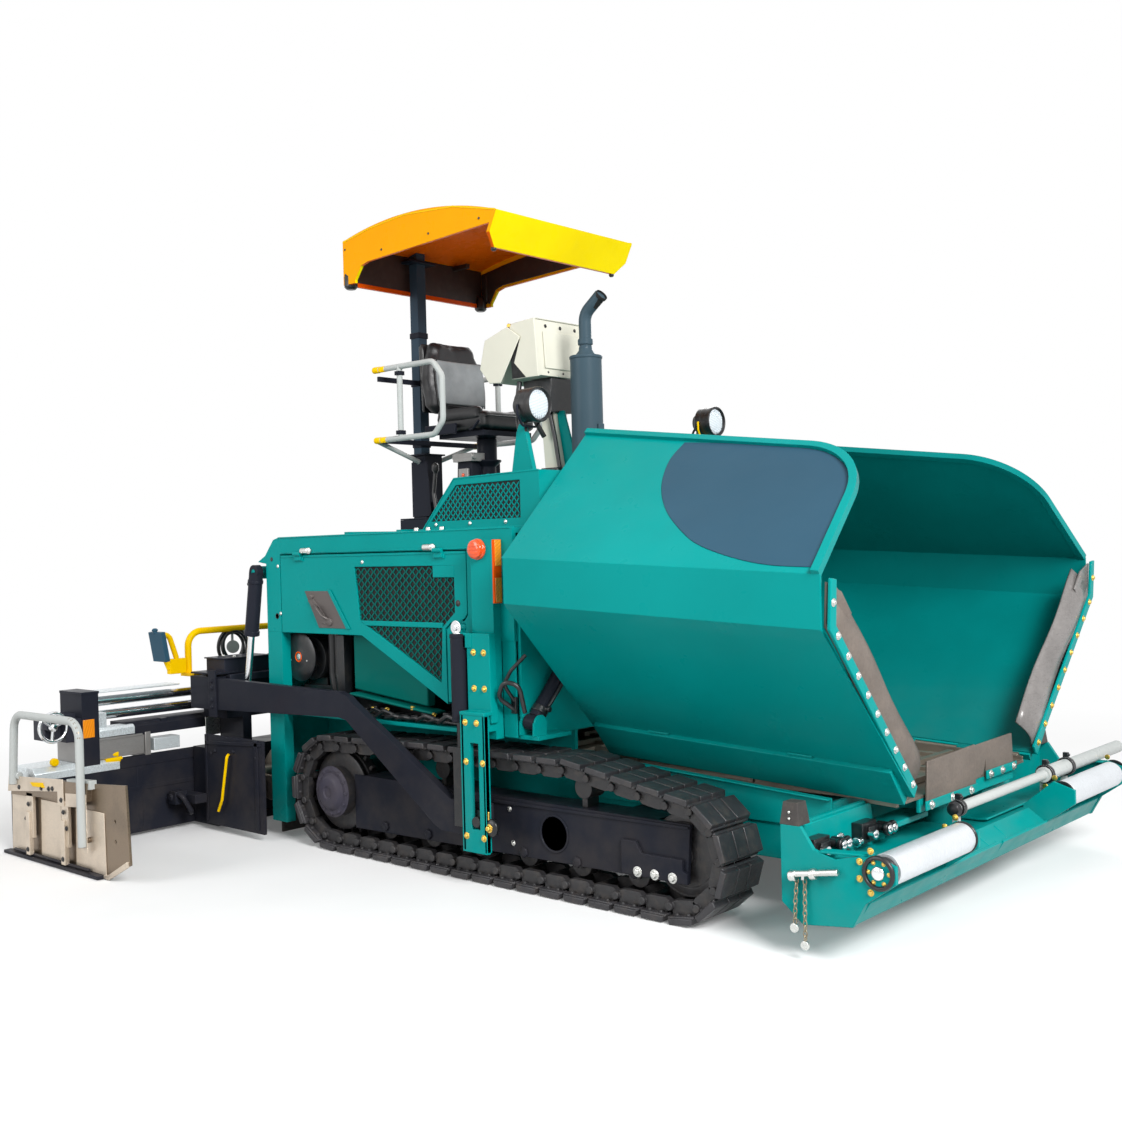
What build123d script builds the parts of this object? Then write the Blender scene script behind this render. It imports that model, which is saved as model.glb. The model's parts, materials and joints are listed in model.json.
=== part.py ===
"""Tracked asphalt paver: tractor with hopper and push beam, operator's station, towed extending screed.

Millimetres. +X runs forward to the hopper, +Y to the machine's left, +Z up. The origin lies on the
ground, midway between the rearmost and foremost points. Each function makes one sub-part; pieces of
the right side (-Y) are made first and mirrored to the left.
"""

from build123d import *
from math import atan2, cos, degrees, hypot, radians, sin, tan
import os

# ---------------------------------------------------------------- driving dimensions
# body
BODY_HALF = 1150
COLUMN_OUT = BODY_HALF + 50
POST_IN = BODY_HALF - 60
DECK_HALF = BODY_HALF - 20
TANK_OUT = BODY_HALF - 150
# tracks
TRACK_HALF_WIDTH = BODY_HALF + 55
SHOE_WIDTH = 290
SHOE_COUNT = 43
BELT_DEPTH = 95
GROOVE_DEPTH = 24
GROOVE_HALF = 11
SPROCKET_X = -940
SPROCKET_BELT_R = 312
IDLER_X = 1350
IDLER_BELT_R = 275
CARRIER_XS = (-150, 780)
CARRIER_BELT_TOP = 645
CARRIER_R = 50
ROLLER_R = 60
ROLLER_XS = (-560, -230, 100, 430, 760, 1090)
SEAT_GAP = 0.3
TRACK_INNER = TRACK_HALF_WIDTH - SHOE_WIDTH
# track side frames
FRAME_OUTER = TRACK_HALF_WIDTH - 85
FRAME_INNER = TRACK_HALF_WIDTH - 245
FRAME_PLATE = 20
FRAME_REAR = -805
FRAME_FRONT = 1395
FRAME_TOP = 412
FRAME_BOTTOM = 140
FRAME_HOLE_R = 78
HUB_R = 134
HUB_OUT = TRACK_HALF_WIDTH - 40
# chassis
FRAME_HALF = 760
PLATE = 20
FLOOR_Z = 230
SIDE_TOP_FRONT = 500
DECK_Z = 720
REAR_X = -1506
REAR_WALL_X = REAR_X + 26
POST_DEPTH = 132
POST_FOOT_Z = 90
SHELF_DEPTH = 100
SHELF_IN = 900
BOSS_HIGH = 40
BOSS_HALF = 110
BOSS_R = 60
YAW_PIN_R = 30
HOOD_BASE = 1160
HOOD_TOP = 1693
BULKHEAD_X = 430
NOSE_X = 1870
SIDE_HOLE_X = -1412
SIDE_HOLE_Z = 1250
SIDE_HOLE_R = 12.5
TOP_OF_BULKHEAD = 1640
# hopper
WING_REAR = 565
WING_FRONT = 2180
HINGE_Y = 632
HINGE_Z = 600
HINGE_SLOPE = 2.915
HINGE_R = 20
PIN_R = 10
PIN_FIT = 0.05
WING_PLATE = 10
CREASE_Y = 1356
LOWER_CREASE = 747
UPPER_CREASE = 953
TOP_LEAN = 39.3
# upper panel: ends along its foot, then its upper corners (along the hinge, up the slope)
TOP_FOOT = (-55, 1566)
TOP_HEAD = ((-188, 965), (1463, 772))
TOP_CORNER_R = 400
RIM = 34
APRON_X = 2125
APRON_HALF = 496
APRON_BASE = 454
APRON_TOP = 664
# push beam
BEAM_HALF = 1250
BEAM_PIVOT_X = 1975
BEAM_BACK = 1935
BEAM_TOP = 505
STOP_HIGH = 87
BAR_X = 2250
BAR_Z = 462
ROLLER_AXIS_X = 2333
ROLLER_AXIS_Z = 375
PUSH_ROLLER_R = 62
PUSH_ROLLER_OUT = BEAM_HALF - 53
EAR_OUT = 540
PUSH_ROLLER_IN = EAR_OUT + 14
AXLE_R = 18
# upper body
GRILLE_HALF = BODY_HALF - 200
GRILLE_TOP = 1960
LAMP_FACE_X = 265
LAMP_Y = GRILLE_HALF - 183
LAMP_Z = 2310
LAMP_R = 86
PANEL = 25
# screed
ARM_IN = COLUMN_OUT + 12
ARM_OUT = ARM_IN + 44
TOW_X = 290
TOW_Z = 320
TOW_PIN_R = 25
TOW_TRAVEL = 110
SLOT_HALF = 28
GUIDE_IN = ARM_OUT + 16
GUIDE_OUT = GUIDE_IN + 24
LEVEL_X = 146
LEVEL_BARREL_R = 42
LEVEL_Y = COLUMN_OUT + 38
LEVEL_ROD_R = 21
SCREED_FRONT = -1905
SCREED_DEPTH = 240
SCREED_HALF = ARM_OUT - 6
SCREED_BEAM_HALF = ARM_IN - 42
SCREED_TOP = 470
EXT_DEPTH = 245
EXT_GAP = 10
EXT_OUT = 2250
EXT_IN = 1030
EXT_TRAVEL = 775
EXT_TOWER = (1940, 1840)
EXT_SLEEVE = (1000, 860)
EXT_TOWER_TOP = 850
TUBE_X = -2265
TUBE_R = 28
TUBE_ZS = (784, 706)
EXT_TOP = 400
END_PLATE = 14
SENSOR_HOLE_R = 9
SENSOR_HOLE_XS = (-1420, -1270)
SENSOR_HOLE_ZS = (200, 300)
HAND_RAIL_R = 20
RAIL_X = -2250
RAIL_HALF = 1200
RAIL_FOOT = 900
AUGER_X = -1700
AUGER_Z = 330
AUGER_R = 165
AUGER_SHAFT_R = 40
AUGER_PITCH = 320
FLIGHT = 12
CASE_HALF = 34


# ---------------------------------------------------------------- helpers
def slab(x0, x1, y0, y1, z0, z1):
    """Block between two opposite corners."""
    size = Box(x1 - x0, y1 - y0, z1 - z0)
    return Pos((x0 + x1) / 2, (y0 + y1) / 2, (z0 + z1) / 2) * size


def both(shape):
    """The shape and its mirror image across the machine's middle plane."""
    return shape + mirror(shape, about=Plane.XZ)


def side_prism(points, y0, y1):
    """Outline in (x, z), extruded across the machine from y0 to y1."""
    outline = make_face(Polyline([(x, y0, z) for x, z in points], close=True))
    return extrude(outline, amount=y1 - y0, dir=(0, 1, 0))


def cross_prism(points, x0, x1):
    """Outline in (y, z), extruded along the machine from x0 to x1."""
    outline = make_face(Polyline([(x0, y, z) for y, z in points], close=True))
    return extrude(outline, amount=x1 - x0, dir=(1, 0, 0))


def rod(start, end, radius):
    """Solid round bar between two points."""
    start, end = Vector(*start), Vector(*end)
    plane = Plane(origin=start, z_dir=end - start)
    return extrude(plane * Circle(radius), amount=(end - start).length)


def tube_path(points, bend, radius):
    """Round bar along straight runs joined by bends."""
    path = FilletPolyline(*points, radius=bend)
    first = Vector(*points[1]) - Vector(*points[0])
    return sweep(Plane(origin=points[0], z_dir=first) * Circle(radius), path=path)


def split_sides(right):
    """Right-hand shape and its mirrored left-hand twin, by name."""
    return {"right": right, "left": mirror(right, about=Plane.XZ)}


# ---------------------------------------------------------------- tracks
def belt_face(inset):
    """Convex loop round sprocket, idler and carrier rollers, drawn inwards by inset."""
    carrier_r = CARRIER_R + BELT_DEPTH - inset
    carrier_z = CARRIER_BELT_TOP - CARRIER_R - BELT_DEPTH
    circles = [
        (SPROCKET_X, SPROCKET_BELT_R, SPROCKET_BELT_R - inset),
        (IDLER_X, IDLER_BELT_R, IDLER_BELT_R - inset),
    ]
    circles += [(x, carrier_z, carrier_r) for x in CARRIER_XS]
    edges = [Pos(x, z, 0) * CenterArc((0, 0, 0), r, 0, 360) for x, z, r in circles]
    return make_hull(edges)


def track():
    """One belt: a loop of links with shoes standing out of it, grooved between shoes."""
    pitch_line = belt_face(GROOVE_DEPTH).face().outer_wire()
    length = pitch_line.length
    centre = Vector((SPROCKET_X + IDLER_X) / 2, SPROCKET_BELT_R, 0)
    groove = GROOVE_HALF / length
    points = []
    for shoe in range(SHOE_COUNT):
        start = shoe / SHOE_COUNT
        end = (shoe + 1) / SHOE_COUNT
        # along the belt, height over the groove floor
        for at, height in ((start, 0), (start + groove, 1), (end - groove, 1)):
            spot = pitch_line.position_at(at)
            ahead = pitch_line.tangent_at(at)
            out = Vector(ahead.Y, -ahead.X, 0)
            if out.dot(spot - centre) < 0:
                out = -out
            spot = spot + out * (height * GROOVE_DEPTH)
            points.append((spot.X, max(spot.Y, 0)))
    outer = make_face(Polyline([(x, z, 0) for x, z in points], close=True))
    flat = outer - belt_face(BELT_DEPTH)
    standing = Plane(origin=(0, -TRACK_INNER, 0), x_dir=(1, 0, 0), z_dir=(0, -1, 0))
    return extrude(standing * flat, amount=SHOE_WIDTH)


def frame_outline():
    return [
        (FRAME_REAR, FRAME_TOP),
        (FRAME_FRONT, FRAME_TOP),
        (FRAME_FRONT - 20, FRAME_BOTTOM + 18),
        (FRAME_REAR, FRAME_BOTTOM - 13),
    ]


def track_frames():
    """Channel between sprocket and idler, open below for the rollers, with arms to the chassis."""
    plates = FRAME_PLATE
    frame = side_prism(frame_outline(), -FRAME_OUTER, -FRAME_INNER)
    frame -= slab(FRAME_REAR - 1, FRAME_FRONT + 1, -FRAME_OUTER + plates, -FRAME_INNER - plates, 0, 300)
    wheel_room = SPROCKET_BELT_R - BELT_DEPTH + 15
    frame -= rod(
        (SPROCKET_X, -FRAME_OUTER + plates, SPROCKET_BELT_R),
        (SPROCKET_X, -FRAME_INNER - plates, SPROCKET_BELT_R),
        wheel_room,
    )
    idler_room = IDLER_BELT_R - BELT_DEPTH + 15
    frame -= rod(
        (IDLER_X, -FRAME_OUTER + plates, IDLER_BELT_R),
        (IDLER_X, -FRAME_INNER - plates, IDLER_BELT_R),
        idler_room,
    )
    frame -= rod(
        (SPROCKET_X, -FRAME_OUTER - 1, SPROCKET_BELT_R),
        (SPROCKET_X, -FRAME_INNER + 1, SPROCKET_BELT_R),
        HUB_R + 6,
    )
    frame -= rod((623, -FRAME_OUTER - 1, 277), (623, -FRAME_OUTER + plates + 1, 277), FRAME_HOLE_R)
    # beams to the chassis side members
    for x in (-250, 950):
        frame += slab(x - 90, x + 90, -FRAME_INNER, -FRAME_HALF, 260, 380)
    return both(frame)


def running_gear():
    """Drive hub and sprocket, idler, carrier and ground rollers of both tracks, each on its axle."""
    y_out = -FRAME_OUTER + FRAME_PLATE
    y_in = -FRAME_INNER - FRAME_PLATE
    wheel_r = SPROCKET_BELT_R - BELT_DEPTH - SEAT_GAP
    drive = rod((SPROCKET_X, y_out + 30, SPROCKET_BELT_R), (SPROCKET_X, y_in - 30, SPROCKET_BELT_R), wheel_r)
    drive += rod((SPROCKET_X, -HUB_OUT, SPROCKET_BELT_R), (SPROCKET_X, -FRAME_HALF, SPROCKET_BELT_R), HUB_R)
    drive += rod((SPROCKET_X, -HUB_OUT - 20, SPROCKET_BELT_R), (SPROCKET_X, -HUB_OUT, SPROCKET_BELT_R), 70)
    idler_r = IDLER_BELT_R - BELT_DEPTH - SEAT_GAP
    idler = rod((IDLER_X, y_out + 15, IDLER_BELT_R), (IDLER_X, y_in - 15, IDLER_BELT_R), idler_r)
    idler += rod((IDLER_X, y_out, IDLER_BELT_R), (IDLER_X, y_in, IDLER_BELT_R), 40)
    gear = drive + idler
    roller_z = BELT_DEPTH + ROLLER_R + SEAT_GAP
    for x in ROLLER_XS:
        gear += rod((x, y_out + 10, roller_z), (x, y_in - 10, roller_z), ROLLER_R)
        gear += rod((x, y_out, roller_z), (x, y_in, roller_z), 22)
    carrier_z = CARRIER_BELT_TOP - CARRIER_R - BELT_DEPTH
    for x in CARRIER_XS:
        gear += rod((x, y_out + 10, carrier_z), (x, y_in - 10, carrier_z), CARRIER_R - SEAT_GAP)
        gear += slab(x - 15, x + 15, y_out + 20, y_in - 20, FRAME_TOP, carrier_z)
    return both(gear)


# ---------------------------------------------------------------- chassis
def chassis():
    """Welded hull between the tracks: side plates, floor, nose plate and push beam pivot."""
    side = side_prism(
        [
            (REAR_WALL_X, FLOOR_Z),
            (NOSE_X, FLOOR_Z),
            (NOSE_X, SIDE_TOP_FRONT),
            (BULKHEAD_X + PLATE, SIDE_TOP_FRONT),
            (BULKHEAD_X + PLATE, DECK_Z - PLATE),
            (REAR_WALL_X, DECK_Z - PLATE),
        ],
        -FRAME_HALF,
        -FRAME_HALF + PLATE,
    )
    hull = both(side)
    hull += slab(REAR_WALL_X, NOSE_X, -FRAME_HALF, FRAME_HALF, FLOOR_Z, FLOOR_Z + PLATE)
    hull += slab(NOSE_X - PLATE, NOSE_X, -FRAME_HALF, FRAME_HALF, FLOOR_Z, SIDE_TOP_FRONT)
    # yaw pin bosses of the push beam
    for z0 in (FLOOR_Z, SIDE_TOP_FRONT - 2 * BOSS_HIGH):
        hull += slab(NOSE_X, BEAM_PIVOT_X, -BOSS_HALF, BOSS_HALF, z0, z0 + BOSS_HIGH)
        hull += rod((BEAM_PIVOT_X, 0, z0), (BEAM_PIVOT_X, 0, z0 + BOSS_HIGH), BOSS_R)
    hull += rod((BEAM_PIVOT_X, 0, FLOOR_Z), (BEAM_PIVOT_X, 0, SIDE_TOP_FRONT - BOSS_HIGH), YAW_PIN_R)
    return hull


def deck():
    """Deck over hull and tracks, wall behind the hopper, shelves for the wing cylinders."""
    front = BULKHEAD_X + PLATE
    z0 = DECK_Z - PLATE
    plates = slab(REAR_WALL_X, front, -DECK_HALF, DECK_HALF, z0, DECK_Z)
    plates -= both(slab(REAR_X, REAR_X + POST_DEPTH, -BODY_HALF, -POST_IN, z0, DECK_Z))
    plates += slab(BULKHEAD_X, front, -DECK_HALF, DECK_HALF, z0, TOP_OF_BULKHEAD)
    plates += both(slab(front, front + SHELF_DEPTH, -DECK_HALF, -SHELF_IN, z0, DECK_Z))
    return plates


def rear_frame():
    """Rear wall round the conveyor's outlet, between the two rear posts."""
    wall = slab(REAR_WALL_X - PLATE, REAR_WALL_X, -POST_IN, POST_IN, FLOOR_Z, HOOD_BASE)
    outlet = FRAME_HALF - PLATE
    wall -= slab(REAR_X, REAR_WALL_X, -outlet, outlet, FLOOR_Z + PLATE, DECK_Z - PLATE)
    post = slab(REAR_X, REAR_X + POST_DEPTH, -BODY_HALF, -POST_IN, POST_FOOT_Z, HOOD_BASE)
    return wall + both(post)


def hopper_floor():
    """Steel floor between the wings with hinge cheeks and the fixed hinge knuckles and pins."""
    x0 = BULKHEAD_X + PLATE
    floor = slab(REAR_X + 26, APRON_X, -HINGE_Y + 32, HINGE_Y - 32, SIDE_TOP_FRONT, SIDE_TOP_FRONT + 12)
    for x in (-1100, -300, 1000):
        floor += slab(x, x + 20, -FRAME_HALF + PLATE, FRAME_HALF - PLATE, FLOOR_Z + PLATE, SIDE_TOP_FRONT)
    cheek = side_prism(
        [(x0, SIDE_TOP_FRONT), (APRON_X, SIDE_TOP_FRONT), (APRON_X, SIDE_TOP_FRONT + 30), (x0, HINGE_Z + 4)],
        -HINGE_Y + 10,
        -HINGE_Y + 32,
    )
    cheek -= wing_frame(rod((-200, -HINGE_Y, 0), (1900, -HINGE_Y, 0), HINGE_R + 6))
    for start, end in FIXED_KNUCKLES:
        knuckle = rod((start, -HINGE_Y, 0), (end, -HINGE_Y, 0), HINGE_R)
        knuckle += slab(start, end, -HINGE_Y, -HINGE_Y + 22, -40, 0)
        cheek += wing_frame(knuckle)
    first, last = FIXED_KNUCKLES[0][0], FIXED_KNUCKLES[-1][1]
    cheek += wing_frame(rod((first, -HINGE_Y, 0), (last, -HINGE_Y, 0), PIN_R))
    return floor + both(cheek)


FIXED_KNUCKLES = ((30, 180), (680, 830), (1380, 1530))
WING_KNUCKLES = ((190, 340), (840, 990), (1220, 1370))


def wing_frame(shape):
    """Takes a shape from the hinge line's frame (x along the hinge, z from it) to the machine's."""
    return Pos(WING_REAR, 0, HINGE_Z) * Rot(0, HINGE_SLOPE, 0) * shape


# ---------------------------------------------------------------- hopper wings
def top_panel_plane():
    lean = radians(TOP_LEAN)
    outward = (0, -sin(lean), cos(lean))
    return Plane(origin=(0, -CREASE_Y, UPPER_CREASE), x_dir=(1, 0, 0), z_dir=outward)


def top_outline(beyond):
    """Upper panel seen square on, its foot and rear edge drawn on beyond their ends."""
    foot_rear, foot_front = TOP_FOOT
    head_rear, head_front = TOP_HEAD
    lean = (foot_front - head_front[0]) / head_front[1]
    climb = (head_rear[1] - head_front[1]) / (head_front[0] - head_rear[0])
    corners = [
        (foot_rear - beyond, -beyond),
        (foot_front + beyond * lean, -beyond),
        head_front,
        (head_rear[0] - beyond, head_rear[1] + beyond * climb),
    ]
    face = make_face(Polyline(corners, close=True))
    front_top = face.vertices().sort_by(Axis.X)[-2:].sort_by(Axis.Y)[-1]
    return fillet(front_top, TOP_CORNER_R)


def wing():
    """One hopper wing: sloping floor, upright side, panel leaning in, rim, front strip, end gusset."""
    lower = [
        (-HINGE_Y, 0),
        (-HINGE_Y - 6, 6),
        (-CREASE_Y, LOWER_CREASE),
        (-CREASE_Y, UPPER_CREASE),
        (-CREASE_Y + WING_PLATE, UPPER_CREASE),
        (-CREASE_Y + WING_PLATE, LOWER_CREASE + 4),
        (-HINGE_Y, 16),
    ]
    shell = cross_prism(lower, -150, 1800)
    plane = top_panel_plane()
    panel = extrude(plane * top_outline(0), amount=-WING_PLATE)
    rim = extrude(plane * top_outline(0), amount=RIM / 2, both=True)
    rim -= extrude(plane * offset(top_outline(2 * RIM), amount=-RIM), amount=RIM, both=True)
    # clear the hinge line, then add the wing's own knuckles
    shell -= rod((-200, -HINGE_Y, 0), (1900, -HINGE_Y, 0), HINGE_R + 6)
    tilt = degrees(atan2(LOWER_CREASE, CREASE_Y - HINGE_Y))
    for start, end in WING_KNUCKLES:
        tab = Pos(0, -HINGE_Y, 0) * Rot(-tilt, 0, 0) * slab(start, end, -60, 0, -5, 9)
        shell += tab
        shell += rod((start, -HINGE_Y, 0), (end, -HINGE_Y, 0), HINGE_R)
        shell -= rod((start - 1, -HINGE_Y, 0), (end + 1, -HINGE_Y, 0), PIN_R + PIN_FIT)
    # end gusset that carries the cylinder's eye
    gusset = cross_prism(
        [
            (-CREASE_Y + 5, LOWER_CREASE),
            (-CREASE_Y + 5, UPPER_CREASE),
            (-1050, 1195),
            (LIFT_EYE[0] - 10, LIFT_EYE[1] + 50),
            (LIFT_EYE[0] + 45, LIFT_EYE[1] + 20),
            (LIFT_EYE[0] + 45, LIFT_EYE[1] - 60),
            (-1000, 385),
        ],
        0,
        14,
    )
    shell += gusset
    shell = wing_frame(shell)
    shell -= slab(WING_REAR - 400, WING_REAR, -1500, 0, 300, 2500)
    shell += wing_frame(panel + rim)
    shell -= slab(WING_FRONT, WING_FRONT + 400, -1500, 0, 300, 2500)
    return shell


def wing_skirt():
    """Rubber strips bolted inside the wing's front edge."""
    slope = atan2(LOWER_CREASE, CREASE_Y - HINGE_Y)
    width = 180
    inward = (sin(slope) * width, cos(slope) * width)
    foot = (-HINGE_Y - 18, 40)
    knee = (-CREASE_Y + 12, LOWER_CREASE + 4)
    strip = cross_prism(
        [foot, knee, (knee[0] + inward[0], knee[1] + inward[1]), (foot[0] + inward[0], foot[1] + inward[1])],
        0,
        12,
    )
    upper = cross_prism(
        [
            knee,
            (knee[0], UPPER_CREASE - 20),
            (knee[0] + 120, UPPER_CREASE - 60),
            (knee[0] + 120, LOWER_CREASE + 130),
        ],
        12,
        22,
    )
    drop = (WING_FRONT - WING_REAR) * sin(radians(HINGE_SLOPE))
    return Pos(WING_FRONT, 0, HINGE_Z - drop) * (strip + upper)


# wing cylinder, in the hinge line's frame (y, z): eye on the gusset, foot over the shelf
LIFT_EYE = (-620, 730)
LIFT_FOOT = (30 - DECK_HALF, 175)
LIFT_X = -85
BARREL_R = 36
ROD_R = 20
BARREL_END = 455
BORE_START = 44
PISTON_START = 285


def wing_barrel():
    """Cylinder barrel on its foot pin."""
    reach = hypot(LIFT_EYE[0] - LIFT_FOOT[0], LIFT_EYE[1] - LIFT_FOOT[1])
    along = ((LIFT_EYE[0] - LIFT_FOOT[0]) / reach, (LIFT_EYE[1] - LIFT_FOOT[1]) / reach)
    end = (LIFT_FOOT[0] + along[0] * BARREL_END, LIFT_FOOT[1] + along[1] * BARREL_END)
    start = (LIFT_FOOT[0] + along[0] * 25, LIFT_FOOT[1] + along[1] * 25)
    barrel = rod((LIFT_X, start[0], start[1]), (LIFT_X, end[0], end[1]), BARREL_R)
    barrel += rod((LIFT_X - 30, *LIFT_FOOT), (LIFT_X + 30, *LIFT_FOOT), 38)
    barrel -= rod((LIFT_X - 60, *LIFT_FOOT), (LIFT_X + 60, *LIFT_FOOT), 16 + PIN_FIT)
    bore_start = (LIFT_FOOT[0] + along[0] * BORE_START, LIFT_FOOT[1] + along[1] * BORE_START)
    bore_end = (LIFT_FOOT[0] + along[0] * (BARREL_END + 5), LIFT_FOOT[1] + along[1] * (BARREL_END + 5))
    barrel -= rod((LIFT_X, *bore_start), (LIFT_X, *bore_end), ROD_R + PIN_FIT)
    return wing_frame(barrel)


def wing_rod():
    """Piston rod with its eye beside the wing's gusset."""
    reach = hypot(LIFT_EYE[0] - LIFT_FOOT[0], LIFT_EYE[1] - LIFT_FOOT[1])
    along = ((LIFT_EYE[0] - LIFT_FOOT[0]) / reach, (LIFT_EYE[1] - LIFT_FOOT[1]) / reach)
    start = (LIFT_FOOT[0] + along[0] * PISTON_START, LIFT_FOOT[1] + along[1] * PISTON_START)
    piston = rod((LIFT_X, *start), (LIFT_X, *LIFT_EYE), ROD_R)
    piston += rod((LIFT_X - 22, *LIFT_EYE), (LIFT_X + 22, *LIFT_EYE), 34)
    piston += rod((LIFT_X, *LIFT_EYE), (-6, *LIFT_EYE), 15)
    return wing_frame(piston)


def wing_cylinder_brackets():
    """Clevis on each shelf with the barrel's foot pin."""
    pin = rod((LIFT_X - 48, *LIFT_FOOT), (LIFT_X + 48, *LIFT_FOOT), 16)
    for x in (LIFT_X - 48, LIFT_X + 38):
        pin += slab(x, x + 10, LIFT_FOOT[0] - 45, LIFT_FOOT[0] + 45, -60, LIFT_FOOT[1] + 5)
        pin += rod((x, *LIFT_FOOT), (x + 10, *LIFT_FOOT), 40)
    bracket = wing_frame(pin)
    bracket -= slab(WING_REAR - 400, WING_REAR + 200, -1500, 0, 0, DECK_Z)
    return both(bracket)


# ---------------------------------------------------------------- front end
def hopper_apron():
    """Overlapping rubber plates that close the hopper's front, on a bolted strip."""
    half = APRON_HALF
    near = cross_prism([(-half, APRON_BASE), (10, APRON_BASE), (10, APRON_TOP), (-half, APRON_TOP)], 0, 12)
    far = cross_prism([(10, APRON_BASE), (half, APRON_BASE), (half, APRON_TOP), (10, APRON_TOP)], 0, 12)
    return Pos(APRON_X, 0, 0) * (near + far)


def conveyors():
    """Two lanes of slats on chain strips over the hopper floor."""
    z0 = SIDE_TOP_FRONT + 12
    x0, x1 = REAR_X + 30, APRON_X - 40
    lane = slab(x0, x1, -110, -80, z0, z0 + 18) + slab(x0, x1, -500, -470, z0, z0 + 18)
    count = 18
    for slat in range(count):
        x = x0 + (slat + 0.5) * (x1 - x0) / count
        lane += slab(x - 15, x + 15, -540, -40, z0 + 4, z0 + 30)
    return both(lane)


def push_beam():
    """Oscillating beam across the front with end plates, back plates, roller ears and its pivot lug."""
    x = BEAM_BACK
    section = [(x, 207), (x + 75, 140), (x + 285, 160), (x + 327, 240), (x + 245, 300), (x, 300)]
    body = side_prism(section, -BEAM_HALF + 20, BEAM_HALF - 20)
    end_outline = [
        (x - 16, BEAM_TOP), (x - 16, 207), (x + 75, 131), (x + 287, 156), (x + 340, 250), (x + 465, 340),
        (x + 465, 405), (x + 365, 437), (x + 215, 400), (x + 125, 425), (x + 70, BEAM_TOP),
    ]
    end = side_prism(end_outline, -BEAM_HALF, -BEAM_HALF + 20)
    back = slab(x, x + 20, -BEAM_HALF + 20, -640, 290, BEAM_TOP - 5)
    ear_outline = [
        (x + 265, 200), (x + 327, 240), (x + 465, 340), (x + 465, 405), (x + 365, 437), (x + 215, 310),
    ]
    ear = side_prism(ear_outline, -EAR_OUT, -EAR_OUT + 16)
    ends = end + back + ear
    body += both(ends)
    # lug round the yaw pin, between the chassis bosses
    body -= slab(BEAM_PIVOT_X - 100, BEAM_PIVOT_X + 90, -135, 135, 100, FLOOR_Z + 46)
    body += rod((BEAM_PIVOT_X, 0, FLOOR_Z + 46), (BEAM_PIVOT_X, 0, SIDE_TOP_FRONT - 86), 62)
    body -= rod((BEAM_PIVOT_X, 0, 100), (BEAM_PIVOT_X, 0, 600), 30 + PIN_FIT)
    # stub axles of the rollers, out of the end plates and the inner ears
    x, z = ROLLER_AXIS_X, ROLLER_AXIS_Z
    stubs = rod((x, -BEAM_HALF + 20, z), (x, -PUSH_ROLLER_OUT, z), AXLE_R)
    stubs += rod((x, -EAR_OUT, z), (x, -PUSH_ROLLER_IN, z), AXLE_R)
    body += both(stubs)
    return body


def beam_stops():
    """Rubber blocks on the beam's ends."""
    x, y = BEAM_BACK + 23, 43 - BEAM_HALF
    foot = Pos(x, y, BEAM_TOP) * Rectangle(84, 84)
    head = Pos(x, y, BEAM_TOP + STOP_HIGH) * Rectangle(62, 62)
    block = loft([foot, head])
    return both(block)


def sight_bar():
    """Telescoping steering guide that reaches out over the left end of the beam."""
    bar = Part()
    stages = ((-410, 530, 22), (530, 845, 36), (845, 1554, 32))
    for start, end, radius in stages:
        bar += rod((BAR_X, start, BAR_Z), (BAR_X, end, BAR_Z), radius)
    # clamp rings on feet that stand on the beam's sloping top
    foot = [(2225, 267.4), (2255, 245.5), (2255, BAR_Z), (2225, BAR_Z)]
    for y, radius in ((-390, 34), (560, 44), (825, 44)):
        bar += rod((BAR_X, y - 12, BAR_Z), (BAR_X, y + 12, BAR_Z), radius)
        bar += side_prism(foot, y - 8, y + 8)
    return bar


def push_roller():
    x, z = ROLLER_AXIS_X, ROLLER_AXIS_Z
    return rod((x, -PUSH_ROLLER_OUT, z), (x, -PUSH_ROLLER_IN, z), PUSH_ROLLER_R)


# ---------------------------------------------------------------- upper body
HOOD_OUTLINE = [
    (REAR_X, HOOD_BASE),
    (REAR_X, 1545),
    (-1583, 1556),
    (-1514, 1590),
    (-1434, 1679),
    (-1397, 1688),
    (BULKHEAD_X, HOOD_TOP),
    (BULKHEAD_X, HOOD_BASE),
]
DOOR_REAR = -1370
DOOR_FRONT = 117
DOOR_TOP = 1590
DOOR_OUTLINE = [
    (DOOR_REAR, HOOD_BASE),
    (DOOR_REAR, DOOR_TOP),
    (DOOR_FRONT, DOOR_TOP),
    (DOOR_FRONT, 1285),
    (92, 1258),
    (0, 1240),
    (-40, 1210),
    (-34, 838),
    (-680, HOOD_BASE),
]
GRILLE_FIELD = [(-728, 1520), (32, 1520), (32, 1290), (-60, 1215), (-76, 942), (-690, 1236)]
GRILLE_RECESS = 12
# fixed side panel ahead of the door, over the tow point cylinder
FRONT_PANEL = [(-28, 850), (191, 850), (191, 1278), (123, 1278), (98, 1250), (4, 1233), (-28, 1206)]
DOOR_GAP = 6
DOOR_HINGE_R = 12
DOOR_HINGE_Y = BODY_HALF + DOOR_HINGE_R + SEAT_GAP
DOOR_HINGE_Z = 1596


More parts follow.
